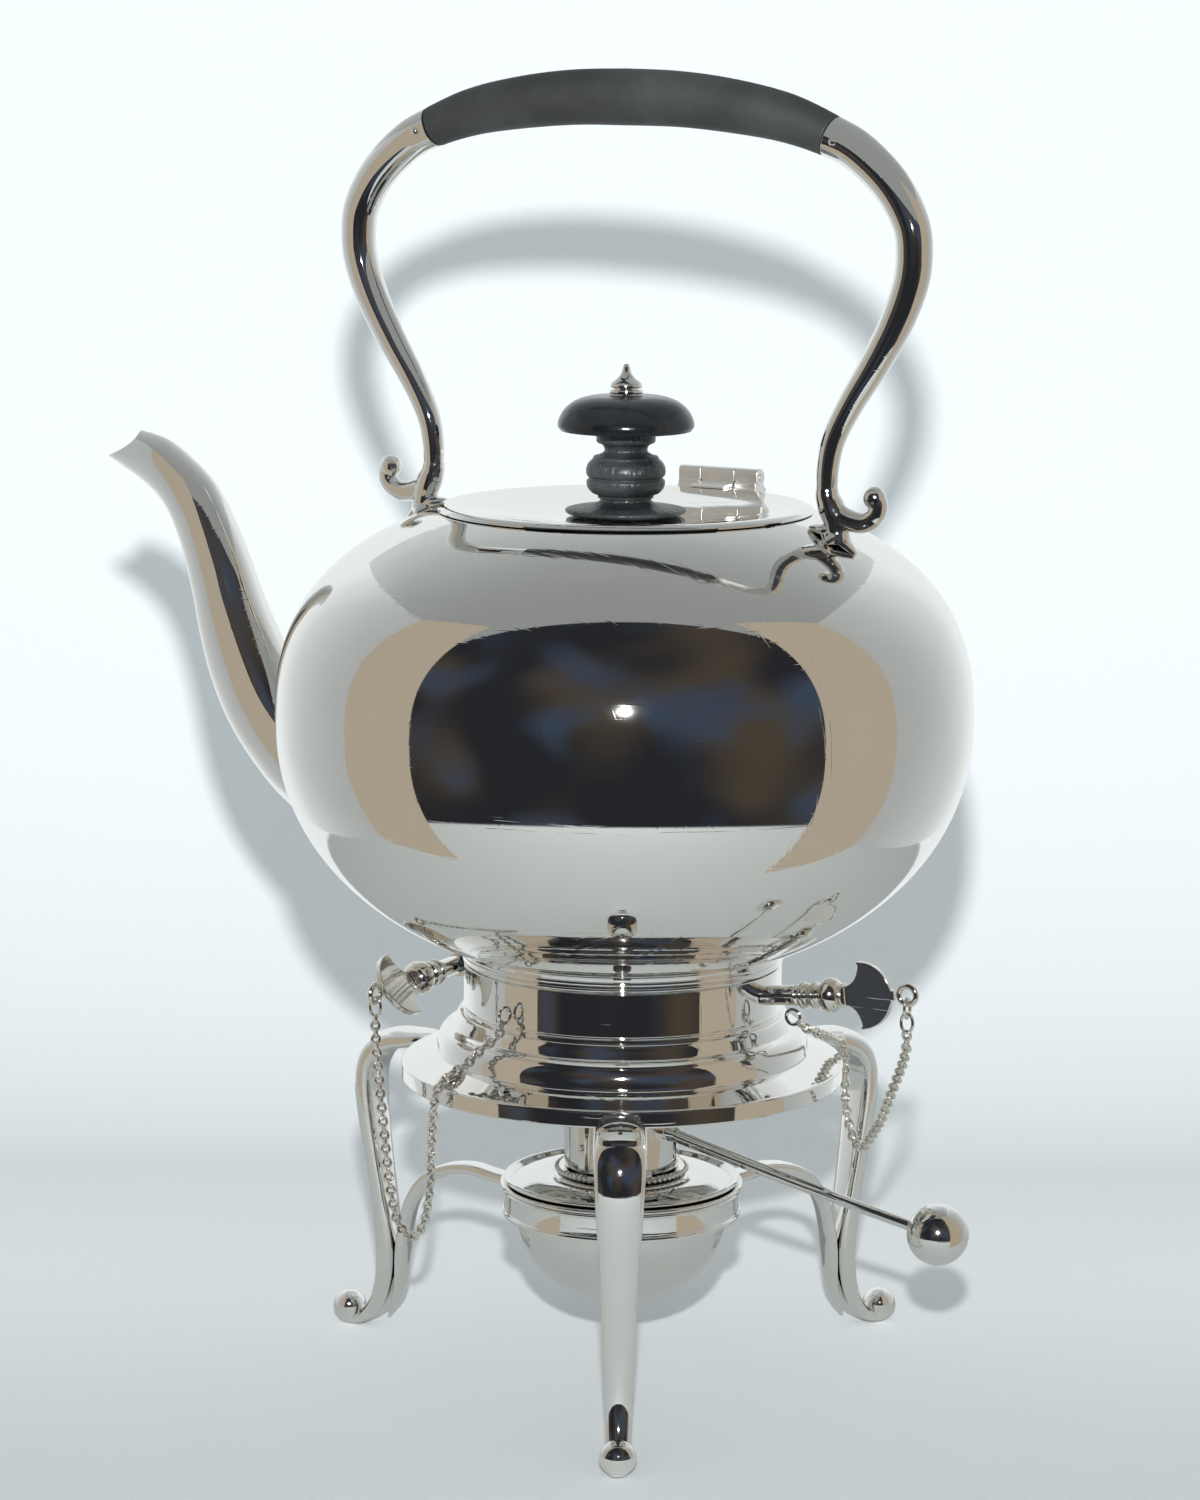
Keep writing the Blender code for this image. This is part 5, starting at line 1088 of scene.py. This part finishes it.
def draw_pin(name, pin_frame, start, tip, roll, links):
    """One pin in its frame from the end of its sleeve, with what hangs on its end."""
    at = pin_frame @ Matrix.Translation((0, 0, start))
    outline = [(0, tip), (PIN_R * 0.5, tip), (PIN_R, tip + 0.9), (PIN_R, 0.25), (BOSS_R * 0.8, 0.25),
               *arc(BOSS_R - 0.55, 1.0, 0.6, 0.65, -80, 80, 7),
               *arc(BOSS_R + 0.35, BOSS_END / 2 + 0.1, 0.95, 0.95, 220, 140, 6),
               *arc(BOSS_R - 0.55, BOSS_END - 1.1, 0.6, 0.65, -80, 80, 7), (BOSS_R * 0.72, BOSS_END),
               *arc(0, (BOSS_END + BALL_END) / 2 + 0.1, BALL_R, 3.65, -57, 57, 18),
               (DISC_R - 0.3, BALL_END), *arc(DISC_R - 0.3, BALL_END + 0.45, 0.4, 0.4, -80, 80, 6),
               (DISC_R - 0.5, DISC_END), (0, DISC_END)]
    pin = moved(turned(outline, 48, closed=False), at)
    piece(name + "_shank", pin, PIN_SILVER, name, [name])
    rolled = at @ Matrix.Rotation(roll, 4, "Z") @ Matrix.Rotation(-pi / 2, 4, "Y")
    moon = moved(plate([crescent_outline()], CRESCENT_T), rolled @ Matrix.Rotation(pi / 2, 4, "X"))
    piece(name + "_thumb_piece", moon, PIN_SILVER, name, [name + "_crescent"], edge=0.3)
    bm = bmesh.new()
    eye_frame = at @ Matrix.Rotation(-pi / 2, 4, "Y") @ Matrix.Translation((EYE_AT, 0, 0))
    add_ring(bm, eye_frame @ Matrix.Rotation(pi / 2, 4, "X"), EYE_R, EYE_WIRE_R, 36, 12)
    piece(name + "_end_eye", bm, PIN_SILVER, name, [name + "_eye"])
    centre = at @ Vector((0, 0, EYE_AT))
    axis = at.to_3x3() @ Vector((0, 0, 1))
    azimuth = atan2(axis.y, axis.x)
    for i in range(links):
        bm = bmesh.new()
        spot = Matrix.Translation(centre - Vector((0, 0, LINK_DROP + i * LINK_PITCH)))
        flat = Matrix.Rotation(azimuth + pi / 2 + i * pi / 2, 4, "Z") @ Matrix.Rotation(pi / 2, 4, "X")
        add_ring(bm, spot @ flat, LINK_R, LINK_WIRE_R, 28, 8, squeeze=LINK_SQUEEZE)
        piece(f"{name}_jump_link_{i + 1}", bm, PIN_SILVER, name, [f"{name}_link_{i + 1}"])


draw_pin("hinge_pin", HINGE_PIN_FRAME, HINGE_PIN_START, HINGE_PIN_TIP, THUMB_ROLL, 1)
draw_pin("lock_pin", LOCK_PIN_FRAME, LOCK_PIN_START, LOCK_PIN_TIP, 0.0, 2)


# Chains: fine silver belcher chain, each link through the next, from an eye on the collar or
# the sleeve to the end of its pin. The route is where each chain hangs.
ANCHOR_R = 2.0
ANCHOR_WIRE_R = 0.5
CHAIN_PITCH = 1.8
CHAIN_LINK_R = 1.16
CHAIN_WIRE_R = 0.48
CHAIN_SQUEEZE = 0.86
HINGE_ANCHOR_AZ = -103.7
HINGE_ANCHOR_Z = COLLAR_TOP - 7.6
LOCK_ANCHOR = (49.94, 0, 101.64)
# Where along X each chain would start to follow its pin, and where it would follow it fully
HINGE_CHAIN_SWAY = (-26, -45)
LOCK_CHAIN_SWAY = (56, 80)
HINGE_CHAIN_ROUTE = (
    (-46.6, -47.0, 99.1), (-46.3, -47.1, 92.6), (-45.2, -47.3, 82.0), (-43.6, -47.7, 70.0),
    (-41.8, -48.3, 58.0), (-38.9, -49.3, 48.0), (-34.0, -51.0, 44.0), (-29.0, -52.7, 48.0),
    (-26.3, -53.8, 57.0), (-25.2, -54.6, 68.0), (-24.2, -55.3, 78.0), (-22.9, -55.6, 84.6),
    (-20.6, -53.4, 88.6), (-17.6, -50.0, 91.2), (-14.6, -47.6, 95.0), (-12.0, -45.9, 97.4),
    (-10.95, -44.85, 99.0), (-10.75, -44.09, 100.86),
)
LOCK_CHAIN_ROUTE = (
    (52.08, 0.0, 99.84), (54.2, 0.9, 98.6), (55.2, 5.0, 96.8), (53.8, 14.0, 93.8), (50.6, 23.0, 91.0),
    (47.2, 31.5, 89.0), (45.9, 37.0, 86.6), (46.0, 38.6, 79.0), (46.8, 37.4, 71.5),
    (49.2, 34.9, 65.6), (52.8, 31.3, 61.8), (56.3, 28.5, 61.6), (60.1, 25.3, 65.6),
    (66.3, 18.5, 72.6), (71.6, 12.5, 80.6), (76.0, 7.8, 87.6), (79.8, 3.2, 93.4), (81.7, 0.6, 97.6),
    (82.02, 0.0, 100.6),
)


def evenly(points, pitch):
    """Points a whole number of equal steps apart along a path, each about a pitch long."""
    lengths = [0.0]
    for a, b in zip(points, points[1:]):
        lengths.append(lengths[-1] + (b - a).length)
    count = round(lengths[-1] / pitch)
    out = []
    i = 0
    for n in range(count + 1):
        goal = lengths[-1] * n / count
        while i < len(points) - 2 and lengths[i + 1] < goal:
            i += 1
        share = (goal - lengths[i]) / (lengths[i + 1] - lengths[i])
        out.append(points[i].lerp(points[i + 1], share))
    return out


def hung_chain(name, node, route, pin, still_x, pin_x):
    """A chain along its route. pin, still_x and pin_x are not used."""
    points = evenly([Vector(p) for p in smooth(route, 8)], CHAIN_PITCH)
    stations = along([(*p, 1.0) for p in points])
    bm = bmesh.new()
    for n, (centre, across, side) in enumerate(stations):
        run = across.cross(side).normalized()
        flat, up = (across, side) if n % 2 else (side, across)
        matrix = Matrix((flat, run, up)).transposed().to_4x4()
        matrix.translation = centre
        add_ring(bm, matrix, CHAIN_LINK_R, CHAIN_WIRE_R, 12, 6, squeeze=CHAIN_SQUEEZE)
    bmesh.ops.recalc_face_normals(bm, faces=bm.faces)
    chain = piece(name, bm, PIN_SILVER, None, [node], crease=180)
    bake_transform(chain)


anchor_out = COLLAR_R + 0.3 + ANCHOR_WIRE_R + ANCHOR_R
hinge_turn = Matrix.Rotation(radians(HINGE_ANCHOR_AZ), 4, "Z")
hinge_spot = hinge_turn @ Matrix.Translation((anchor_out, 0, HINGE_ANCHOR_Z))
lock_spot = Matrix.Translation(LOCK_ANCHOR)
for name, node, spot in (("hinge_anchor", "hinge_chain_eye", hinge_spot),
                         ("lock_anchor", "lock_chain_eye", lock_spot)):
    bm = bmesh.new()
    add_ring(bm, spot @ Matrix.Rotation(pi / 2, 4, "X"), ANCHOR_R, ANCHOR_WIRE_R, 28, 10)
    piece(name, bm, STAND_SILVER, "stand", [node])
hung_chain("hinge_chain_links", "hinge_pin_chain", HINGE_CHAIN_ROUTE, "hinge_pin", *HINGE_CHAIN_SWAY)
hung_chain("lock_chain_links", "lock_pin_chain", LOCK_CHAIN_ROUTE, "lock_pin", *LOCK_CHAIN_SWAY)


# Spout: a swan neck made of two silver halves, oval at the root, with a notched lip. It is
# soldered to the body with a fine fillet.
SPOUT_REACH = 161.4
SPOUT_RISE = 66.3
SPOUT_HALF_W = 17.0
SPOUT_WALL = 1.1
SPOUT_SIDES = 48
NOTCH_DEPTH = 2.4
NOTCH_ROWS = 9
ROOT_SINK = -0.5
FILLET_R = 0.7
# Upper edge x and height shares, lower edge x and height shares, half width share
SPOUT_SHARES = (
    (0.933, 1.000, 1.000, 0.887, 0.27), (0.883, 0.970, 0.926, 0.793, 0.35),
    (0.831, 0.889, 0.880, 0.706, 0.41), (0.790, 0.798, 0.854, 0.597, 0.44),
    (0.758, 0.672, 0.834, 0.468, 0.48), (0.727, 0.520, 0.817, 0.314, 0.52),
    (0.698, 0.350, 0.804, 0.170, 0.565), (0.659, 0.168, 0.782, 0.006, 0.635),
    (0.616, 0.006, 0.7435, -0.172, 0.72), (0.567, -0.118, 0.688, -0.335, 0.81),
    (0.517, -0.205, 0.623, -0.471, 0.905), (0.468, -0.267, 0.542, -0.567, 0.975),
    (0.409, -0.315, 0.440, -0.584, 1.0),
)


def end_on_body(rings, offset):
    """Stop each line of a skin where it reaches the body, and return that edge's points."""
    ends = []
    for line in zip(*rings):
        stop = None
        for before, vert in zip(line, line[1:]):
            if stop is None and inside_body(*(vert.co / MM), offset):
                near = before.co.copy()
                far = vert.co.copy()
                for _ in range(16):
                    middle = (near + far) / 2
                    if inside_body(*(middle / MM), offset):
                        far = middle
                    else:
                        near = middle
                stop = near
            if stop is not None:
                vert.co = stop
        ends.append(stop / MM)
    return ends


def spout_stations(inset):
    out = []
    for up_x, up_z, low_x, low_z, w in smooth(SPOUT_SHARES, 7):
        upper = Vector((-up_x * SPOUT_REACH, 0, BODY_Z + up_z * SPOUT_RISE))
        lower = Vector((-low_x * SPOUT_REACH, 0, BODY_Z + low_z * SPOUT_RISE))
        rise = (upper - lower) / 2
        rise *= 1 - inset / rise.length
        out.append(((upper + lower) / 2, rise, Vector((0, w * SPOUT_HALF_W - inset, 0))))
    return out


bm = bmesh.new()
outer_rings = skinned(bm, spout_stations(0), round_section, SPOUT_SIDES, caps=False)
inner_rings = skinned(bm, spout_stations(SPOUT_WALL), round_section, SPOUT_SIDES, caps=False)
lip_way = (spout_stations(0)[NOTCH_ROWS][0] - spout_stations(0)[0][0]).normalized()
for rings in (outer_rings, inner_rings):
    for i, ring in enumerate(rings[:NOTCH_ROWS]):
        for n, vert in enumerate(ring):
            angle = tau * n / SPOUT_SIDES
            cut = NOTCH_DEPTH * (1 - i / NOTCH_ROWS) * abs(sin(angle)) ** 1.4 * (1 + 0.35 * cos(angle))
            vert.co += lip_way * cut * MM
lips = [bm.edges.get((ring[n - 1], ring[n])) for ring in (outer_rings[0], inner_rings[0])
        for n in range(SPOUT_SIDES)]
bmesh.ops.bridge_loops(bm, edges=lips)
root = end_on_body(outer_rings, ROOT_SINK)
end_on_body(inner_rings, ROOT_SINK)
tidied(bm)
piece("spout_shell", bm, KETTLE_SILVER, "kettle", ["spout"], edge=0.3, soften=50)
bm = bmesh.new()
fillet = along([(*point, FILLET_R) for point in root], closed=True)
skinned(bm, [*fillet, fillet[0]], round_section, 10, caps=False)
tidied(bm)
piece("spout_fillet", bm, KETTLE_SILVER, "kettle")


# Handle: an arched handle of tapering round silver arms, pinned at each end of a covered grip,
# and soldered to the shoulder by cast feet with a scroll and a base of small leaves.
HANDLE_REACH = 80.5
HANDLE_TOP_Z = 333.6
HANDLE_T = 9.6
GRIP_T = 14.3
HANDLE_FOOT_H = 12.0
# Share of the reach, share of the climb from the foot, share of the thickness
GRIP_SHARES = ((0, 1, 1), (0.185, 0.997, 0.979), (0.370, 0.982, 0.937), (0.555, 0.955, 0.853))
HANDLE_SHARES = (
    (0.711, 0.911, 1.10), (0.812, 0.869, 1.06), (0.919, 0.789, 1.02), (0.985, 0.698, 0.98),
    (1.000, 0.620, 0.96), (0.989, 0.540, 0.94), (0.945, 0.443, 0.89), (0.875, 0.336, 0.80),
    (0.791, 0.225, 0.70), (0.737, 0.137, 0.64), (0.717, 0.064, 0.60), (0.714, 0.0, 0.56),
)
HANDLE_SPAN_STEPS = 8
HANDLE_SIDES = 32
RIVET_R = 1.1
RIVET_PROUD = 0.75
RIVET_SETBACK = 3.2
ARM_GAP = 0.25
GRIP_DARK = (0.026, 0.028, 0.029, 1)
GRIP_DUSTY = (0.056, 0.060, 0.061, 1)
FOOT_X = HANDLE_SHARES[-1][0] * HANDLE_REACH
foot_base_z = body_over(FOOT_X)
foot_top_z = foot_base_z + HANDLE_FOOT_H
climb = HANDLE_TOP_Z - foot_top_z
handle_rows = [(x * HANDLE_REACH, foot_top_z + z * climb, r * GRIP_T / 2) for x, z, r in GRIP_SHARES]
handle_rows += [(x * HANDLE_REACH, foot_top_z + z * climb, r * HANDLE_T / 2)
                for x, z, r in HANDLE_SHARES]
handle_path = smooth(handle_rows, HANDLE_SPAN_STEPS)
joint = len(GRIP_SHARES) * HANDLE_SPAN_STEPS

GRIP_FINISH, nodes, links, shader, where = new_finish("matt_grip")
dusty = ramp_between(nodes, links, cloudy(nodes, links, where, 42, 6), 0.35, 0.75)
links.new(mixed_colour(nodes, links, dusty, GRIP_DARK, GRIP_DUSTY), shader.inputs["Base Color"])
shader.inputs["Roughness"].default_value = 0.55
bumped(nodes, links, shader, cloudy(nodes, links, where, 900, 5), 0.35, 0.15)

grip_half = [(x, 0, z, r) for x, z, r in handle_path[:joint + 1]]
bm = bmesh.new()
skinned(bm, along([*[(-x, y, z, r) for x, y, z, r in reversed(grip_half[1:])], *grip_half]),
        round_section, HANDLE_SIDES)
piece("grip", bm, GRIP_FINISH, "kettle", ["handle_grip"], edge=0.5, soften=45)

joint_x, joint_z, joint_r = handle_path[joint]
next_x, next_z, _ = handle_path[joint + 1]
step = hypot(next_x - joint_x, next_z - joint_z)
ahead_x = (next_x - joint_x) / step
ahead_z = (next_z - joint_z) / step
arm_half = [(joint_x + ahead_x * ARM_GAP, 0, joint_z + ahead_z * ARM_GAP, joint_r),
            *[(x, 0, z, r) for x, z, r in handle_path[joint + 1:-1]],
            (FOOT_X, 0, foot_top_z + 0.15, handle_path[-1][2])]
for side, sign in (("spout", -1), ("rear", 1)):
    bm = bmesh.new()
    skinned(bm, along([(sign * x, y, z, r) for x, y, z, r in arm_half]), round_section, HANDLE_SIDES)
    piece("handle_arch_" + side, bm, KETTLE_SILVER, "kettle", ["handle_arm_" + side],
          edge=0.2, soften=45)
    bm = bmesh.new()
    rivet_x = sign * (joint_x + ahead_x * RIVET_SETBACK)
    rivet_z = joint_z + ahead_z * RIVET_SETBACK
    add_ball(bm, (rivet_x, -joint_r + 0.1, rivet_z), (RIVET_R, RIVET_PROUD, RIVET_R), 20)
    piece("rivet_" + side, bm, PIN_SILVER, "kettle", ["grip_rivet_" + side])

# Scroll: outward distance from the arm's end, height over the body, radius
SCROLL_ROWS = ((0.0, 12.0, 2.55), (0.7, 9.2, 2.75), (2.9, 6.4, 2.8), (6.6, 4.7, 2.75), (10.6, 4.5, 2.6),
               (13.5, 6.4, 2.5), (14.3, 9.0, 2.45), (13.2, 10.8, 2.5))
SCROLL_END_R = 2.95
# Stem: outward distance, height, radius
STEM_ROWS = ((0.0, 13.6, 2.35), (0.0, 12.4, 2.85), (0.2, 10.4, 3.05), (1.0, 8.4, 3.4), (2.0, 6.2, 3.45),
             (2.7, 4.0, 3.2), (3.0, 2.0, 3.1), (3.1, 0.4, 3.3), (3.1, -1.2, 3.7))
# Leaves of the base: azimuth and reach; then share of the reach, height over the body, half
# thickness and half width
BASE_LEAN = 2.4
BASE_LEAVES = ((180, 7.2), (0, 5.9), (-90, 4.7), (90, 4.7))
LEAF_SHARES = ((0.0, 2.5, 2.0, 2.6), (0.25, 2.1, 1.8, 3.0), (0.5, 1.6, 1.5, 2.8), (0.72, 1.1, 1.2, 2.0),
               (0.88, 0.7, 0.9, 1.3), (1.0, 0.4, 0.6, 0.7))
for side, sign in (("spout", -1), ("rear", 1)):
    bm = bmesh.new()
    scroll = [(sign * (FOOT_X + x), 0, foot_base_z + z, r) for x, z, r in SCROLL_ROWS]
    skinned(bm, along(smooth(scroll, 5)), round_section, 20)
    add_ball(bm, scroll[-1][:3], (SCROLL_END_R, SCROLL_END_R, SCROLL_END_R), 24)
    stem = [(sign * (FOOT_X + x), 0, foot_base_z + z, r) for x, z, r in STEM_ROWS]
    skinned(bm, along(smooth(stem, 4)), round_section, 24)
    for azimuth, reach in BASE_LEAVES:
        way = Vector((sign * cos(radians(azimuth)), sin(radians(azimuth)), 0))
        stations = []
        for share, lift, t, w in smooth(LEAF_SHARES, 4):
            spot = Vector((sign * (FOOT_X + BASE_LEAN), 0, 0)) + way * share * reach
            spot.z = body_over(hypot(spot.x, spot.y)) + lift
            stations.append((spot, t, w))
        frames = []
        for i, (spot, t, w) in enumerate(stations):
            run = (stations[min(i + 1, len(stations) - 1)][0] - stations[max(i - 1, 0)][0]).normalized()
            side_way = run.cross(Vector((0, 0, 1))).normalized()
            frames.append((spot, side_way.cross(run) * t, side_way * w))
        skinned(bm, frames, round_section, 16)
    foot = piece("foot_casting_" + side, bm, KETTLE_SILVER, "kettle",
                 ["handle_foot_" + side], crease=180)
    cast = foot.modifiers.new("Cast in one", "REMESH")
    cast.mode = "VOXEL"
    cast.voxel_size = 0.27 * MM
    cast.use_smooth_shade = True
    polish = foot.modifiers.new("Polished", "SMOOTH")
    polish.factor = 0.5
    polish.iterations = 6


# Lid: a spun silver disc with a soft hollow inside a narrow rim, and a bezel ring under it that
# drops into the mouth.
LID_R = 48.377
LID_TOP = 227.33
RIM_H = 230.33
LID_T = 0.8
LID_BORE = 1.42
BEZEL_R = 44.58
# Distance from the axis and depth under the rim, from the hollow's edge to its flat middle
LID_HOLLOW = ((45.6, 0.0), (43.4, 0.24), (38.0, 1.02), (31.0, 1.98), (24.0, 2.68), (18.5, 2.96),
              (16.0, 3.0))
hollow = [(r, RIM_H - sink) for r, sink in smooth(LID_HOLLOW, 5)]
lid_edge = [(LID_R - 1.9, RIM_H), (LID_R - 1.1, RIM_H - 0.2), (LID_R - 0.35, RIM_H - 0.62),
            (LID_R - 0.02, RIM_H - 1.0), (LID_R - 0.08, RIM_H - 1.36), (LID_R - 0.5, RIM_H - 1.3)]
lid_outline = [(LID_BORE, LID_TOP), *reversed(hollow), *lid_edge,
               *[(r - 0.1, z - LID_T) for r, z in hollow], (LID_BORE, LID_TOP - LID_T)]
piece("lid_disc", turned(lid_outline), KETTLE_SILVER, "lid", ["lid"], crease=35)
bezel_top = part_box("lid_bezel")[1].z / MM
bezel_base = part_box("lid_bezel")[0].z / MM
bezel_outline = [(BEZEL_R, bezel_top + 2.3), *arc(BEZEL_R - 0.3, bezel_base + 0.3, 0.3, 0.3, 0, -180, 6),
                 (BEZEL_R - 1.0, bezel_top + 2.2)]
piece("lid_bezel_ring", turned(bezel_outline), KETTLE_SILVER, "lid", ["lid_bezel"])


# Lid hinge: a long flat-topped silver barrel in three knuckles behind the lid, the outer two
# on a saddle soldered to the body and the middle one on the lid.
LID_HINGE_Y = 52.577
LID_HINGE_Z = 232.928
LID_HINGE_W = 23.5
LID_KNUCKLE_W = 10.0
BARREL_R = 2.3
LID_PIN_R = 0.9


def barrel_outline(steps=28):
    """Section across the barrel: flat in front and on top, round behind and below."""
    out = []
    for i in range(steps):
        turn = tau * i / steps
        y = cos(turn)
        z = sin(turn)
        power = 4.5 if y < 0.2 and z > -0.5 else 2.0
        size = BARREL_R / (abs(y) ** power + abs(z) ** power) ** (1 / power)
        out.append((y * size, z * size))
    return out


def hinge_plate(loops, width, shift=0.0):
    """A plate across the hinge, whose outline is given round the hinge's line."""
    return moved(plate(loops, width), Matrix.Translation((shift, LID_HINGE_Y, LID_HINGE_Z)) @ OUTWARDS)


def joined(shapes):
    """One shape from several."""
    bm = bmesh.new()
    for shape in shapes:
        mesh = bpy.data.meshes.new("part")
        shape.to_mesh(mesh)
        shape.free()
        bm.from_mesh(mesh)
        bpy.data.meshes.remove(mesh)
    return bm


hinge_hole = circle(LID_PIN_R + 0.06, 16)
side_w = (LID_HINGE_W - LID_KNUCKLE_W) / 2 - 0.12
middle_w = LID_KNUCKLE_W - 0.1
drop = LID_HINGE_Z - body_over(LID_HINGE_Y) + 1.2
front = LID_R + 0.6 - LID_HINGE_Y
web_outline = [(front + 0.6, -drop), (BARREL_R * 1.2, -drop), (BARREL_R * 0.9, -1.2), (front + 0.9, -1.2)]
saddle_outline = [(front, -drop), (BARREL_R * 1.5, -drop), (BARREL_R * 1.35, -BARREL_R - 0.5),
                  (front, -BARREL_R - 0.5)]
brackets = []
for shift in (-(LID_HINGE_W - side_w) / 2, (LID_HINGE_W - side_w) / 2):
    brackets.append(hinge_plate([barrel_outline(), hinge_hole], side_w, shift))
    brackets.append(hinge_plate([web_outline], side_w - 0.3, shift))
brackets.append(hinge_plate([saddle_outline], LID_HINGE_W))
piece("hinge_saddle", joined(brackets), HINGE_SILVER, "kettle", ["lid_hinge_bracket"],
      edge=0.22)
bm = hinge_plate([barrel_outline(), hinge_hole], middle_w)
piece("hinge_middle", bm, HINGE_SILVER, "lid", ["lid_hinge_leaf"], edge=0.22)
leaf_z = RIM_H - LID_HINGE_Z
leaf_outline = [(-8.4, leaf_z - 0.05), (-1.0, leaf_z - 0.05), (-0.6, leaf_z + 1.2), (-1.9, leaf_z + 1.3),
                (-3.6, leaf_z + 0.95), (-7.4, leaf_z + 0.85), (-8.4, leaf_z + 0.4)]
bm = hinge_plate([leaf_outline], middle_w)
piece("hinge_leaf", bm, HINGE_SILVER, "lid", edge=0.2)
pin = turned([(0, -0.1), (LID_PIN_R, -0.1), (LID_PIN_R, LID_HINGE_W + 0.1), (0, LID_HINGE_W + 0.1)],
             20, closed=False)
pin_start = Matrix.Translation((-LID_HINGE_W / 2, LID_HINGE_Y, LID_HINGE_Z))
moved(pin, pin_start @ Matrix.Rotation(pi / 2, 4, "Y"))
piece("hinge_wire", pin, PIN_SILVER, "kettle", ["lid_hinge_pin"], edge=0.15)


# Knob: turned black wood in three parts, a saucer base, a reeded baluster and a mushroom cap,
# held by a bolt with a silver finial on top and a nut under the lid.
KNOB_BASE_R = 15.5
KNOB_BODY_R = 10.2
KNOB_CAP_R = 17.5
FINIAL_R = 4.3
BOLT_R = 1.3
CAP_BLACK = (0.008, 0.010, 0.013, 1)
CAP_GREY = (0.020, 0.023, 0.027, 1)
WORN_BLACK = (0.018, 0.021, 0.023, 1)
WORN_GREY = (0.064, 0.070, 0.074, 1)
# Share of the piece's radius, share of its height
KNOB_BASE_SHARES = ((0.42, 1.0), (0.44, 0.86), (0.56, 0.66), (0.80, 0.54), (0.96, 0.42), (1.0, 0.30),
                    (0.97, 0.12), (0.85, 0.0))
KNOB_BODY_SHARES = (
    (0.75, 1.0), (0.745, 0.93), (0.73, 0.86), (0.60, 0.82), (0.545, 0.76), (0.56, 0.71), (0.70, 0.66),
    (0.80, 0.645), (0.83, 0.615), (0.84, 0.60), (0.95, 0.53), (1.0, 0.44), (0.985, 0.355), (0.93, 0.32),
    (0.93, 0.30), (0.985, 0.265), (0.96, 0.16), (0.84, 0.075), (0.72, 0.05), (0.70, 0.0),
)
KNOB_CAP_SHARES = ((0.26, 1.0), (0.54, 0.955), (0.76, 0.82), (0.91, 0.59), (0.985, 0.34), (1.0, 0.18),
                   (0.975, 0.085), (0.90, 0.02), (0.44, 0.0))
FINIAL_SHARES = ((0.0, 1.0), (0.12, 0.985), (0.19, 0.92), (0.25, 0.80), (0.34, 0.66), (0.52, 0.53),
                 (0.79, 0.41), (0.95, 0.32), (0.96, 0.23), (0.80, 0.17), (0.84, 0.14), (1.0, 0.12),
                 (1.0, 0.02), (0.95, 0.0))


def ebony_finish(name, dark, pale, gloss, pit_depth):
    """Black wood with open pores along the upright, paler where it is worn."""
    material, nodes, links, shader, where = new_finish(name)
    stretch = nodes.new("ShaderNodeMapping")
    stretch.inputs["Scale"].default_value = (1, 1, 0.25)
    links.new(where, stretch.inputs["Vector"])
    grain = cloudy(nodes, links, stretch.outputs["Vector"], 520, 4)
    bloom = cloudy(nodes, links, where, 70, 5)
    worn = ramp_between(nodes, links, bloom, 0.35, 0.72)
    links.new(mixed_colour(nodes, links, worn, dark, pale), shader.inputs["Base Color"])
    gloss_between(nodes, links, shader, bloom, 0.0, 1.0, gloss, 0.14)
    bumped(nodes, links, shader, ramp_between(nodes, links, grain, 0.40, 0.56), 0.5, pit_depth)
    return material


KNOB_DARK = ebony_finish("ebony_cap", CAP_BLACK, CAP_GREY, 0.10, 0.03)
KNOB_WORN = ebony_finish("ebony_baluster", WORN_BLACK, WORN_GREY, 0.27, 0.30)


def knob_outline(shares, r, node, steps, bore=1.4):
    """Outline over a node's height from shares of a radius and of that height."""
    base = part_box(node)[0].z / MM
    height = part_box(node)[1].z / MM - base
    rows = smooth([(share_r * r, base + share_z * height) for share_r, share_z in shares], steps)
    return [(bore, rows[0][1]), *rows, (bore, base)]


for name, node, shares, r, steps, finish in (
        ("knob_saucer", "knob_base", KNOB_BASE_SHARES, KNOB_BASE_R, 4, KNOB_WORN),
        ("knob_baluster", "knob_body", KNOB_BODY_SHARES, KNOB_BODY_R, 3, KNOB_WORN),
        ("knob_mushroom", "knob_cap", KNOB_CAP_SHARES, KNOB_CAP_R, 6, KNOB_DARK)):
    piece(name, turned(knob_outline(shares, r, node, steps), 96), finish, "lid", [node])
piece("finial", turned(knob_outline(FINIAL_SHARES, FINIAL_R, "knob_finial", 4, 0.0), 64, closed=False),
      KETTLE_SILVER, "lid", ["knob_finial"])
softened("nut", "knob_nut", KETTLE_SILVER, "lid", 0.3)
bolt_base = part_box("knob_bolt")[0].z / MM
bolt_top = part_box("knob_bolt")[1].z / MM
bolt = turned([(0, bolt_base), (BOLT_R - 0.4, bolt_base), (BOLT_R, bolt_base + 0.4), (BOLT_R, bolt_top),
               (0, bolt_top)], 32, closed=False)
piece("threaded_bolt", bolt, PIN_SILVER, "lid", ["knob_bolt"])
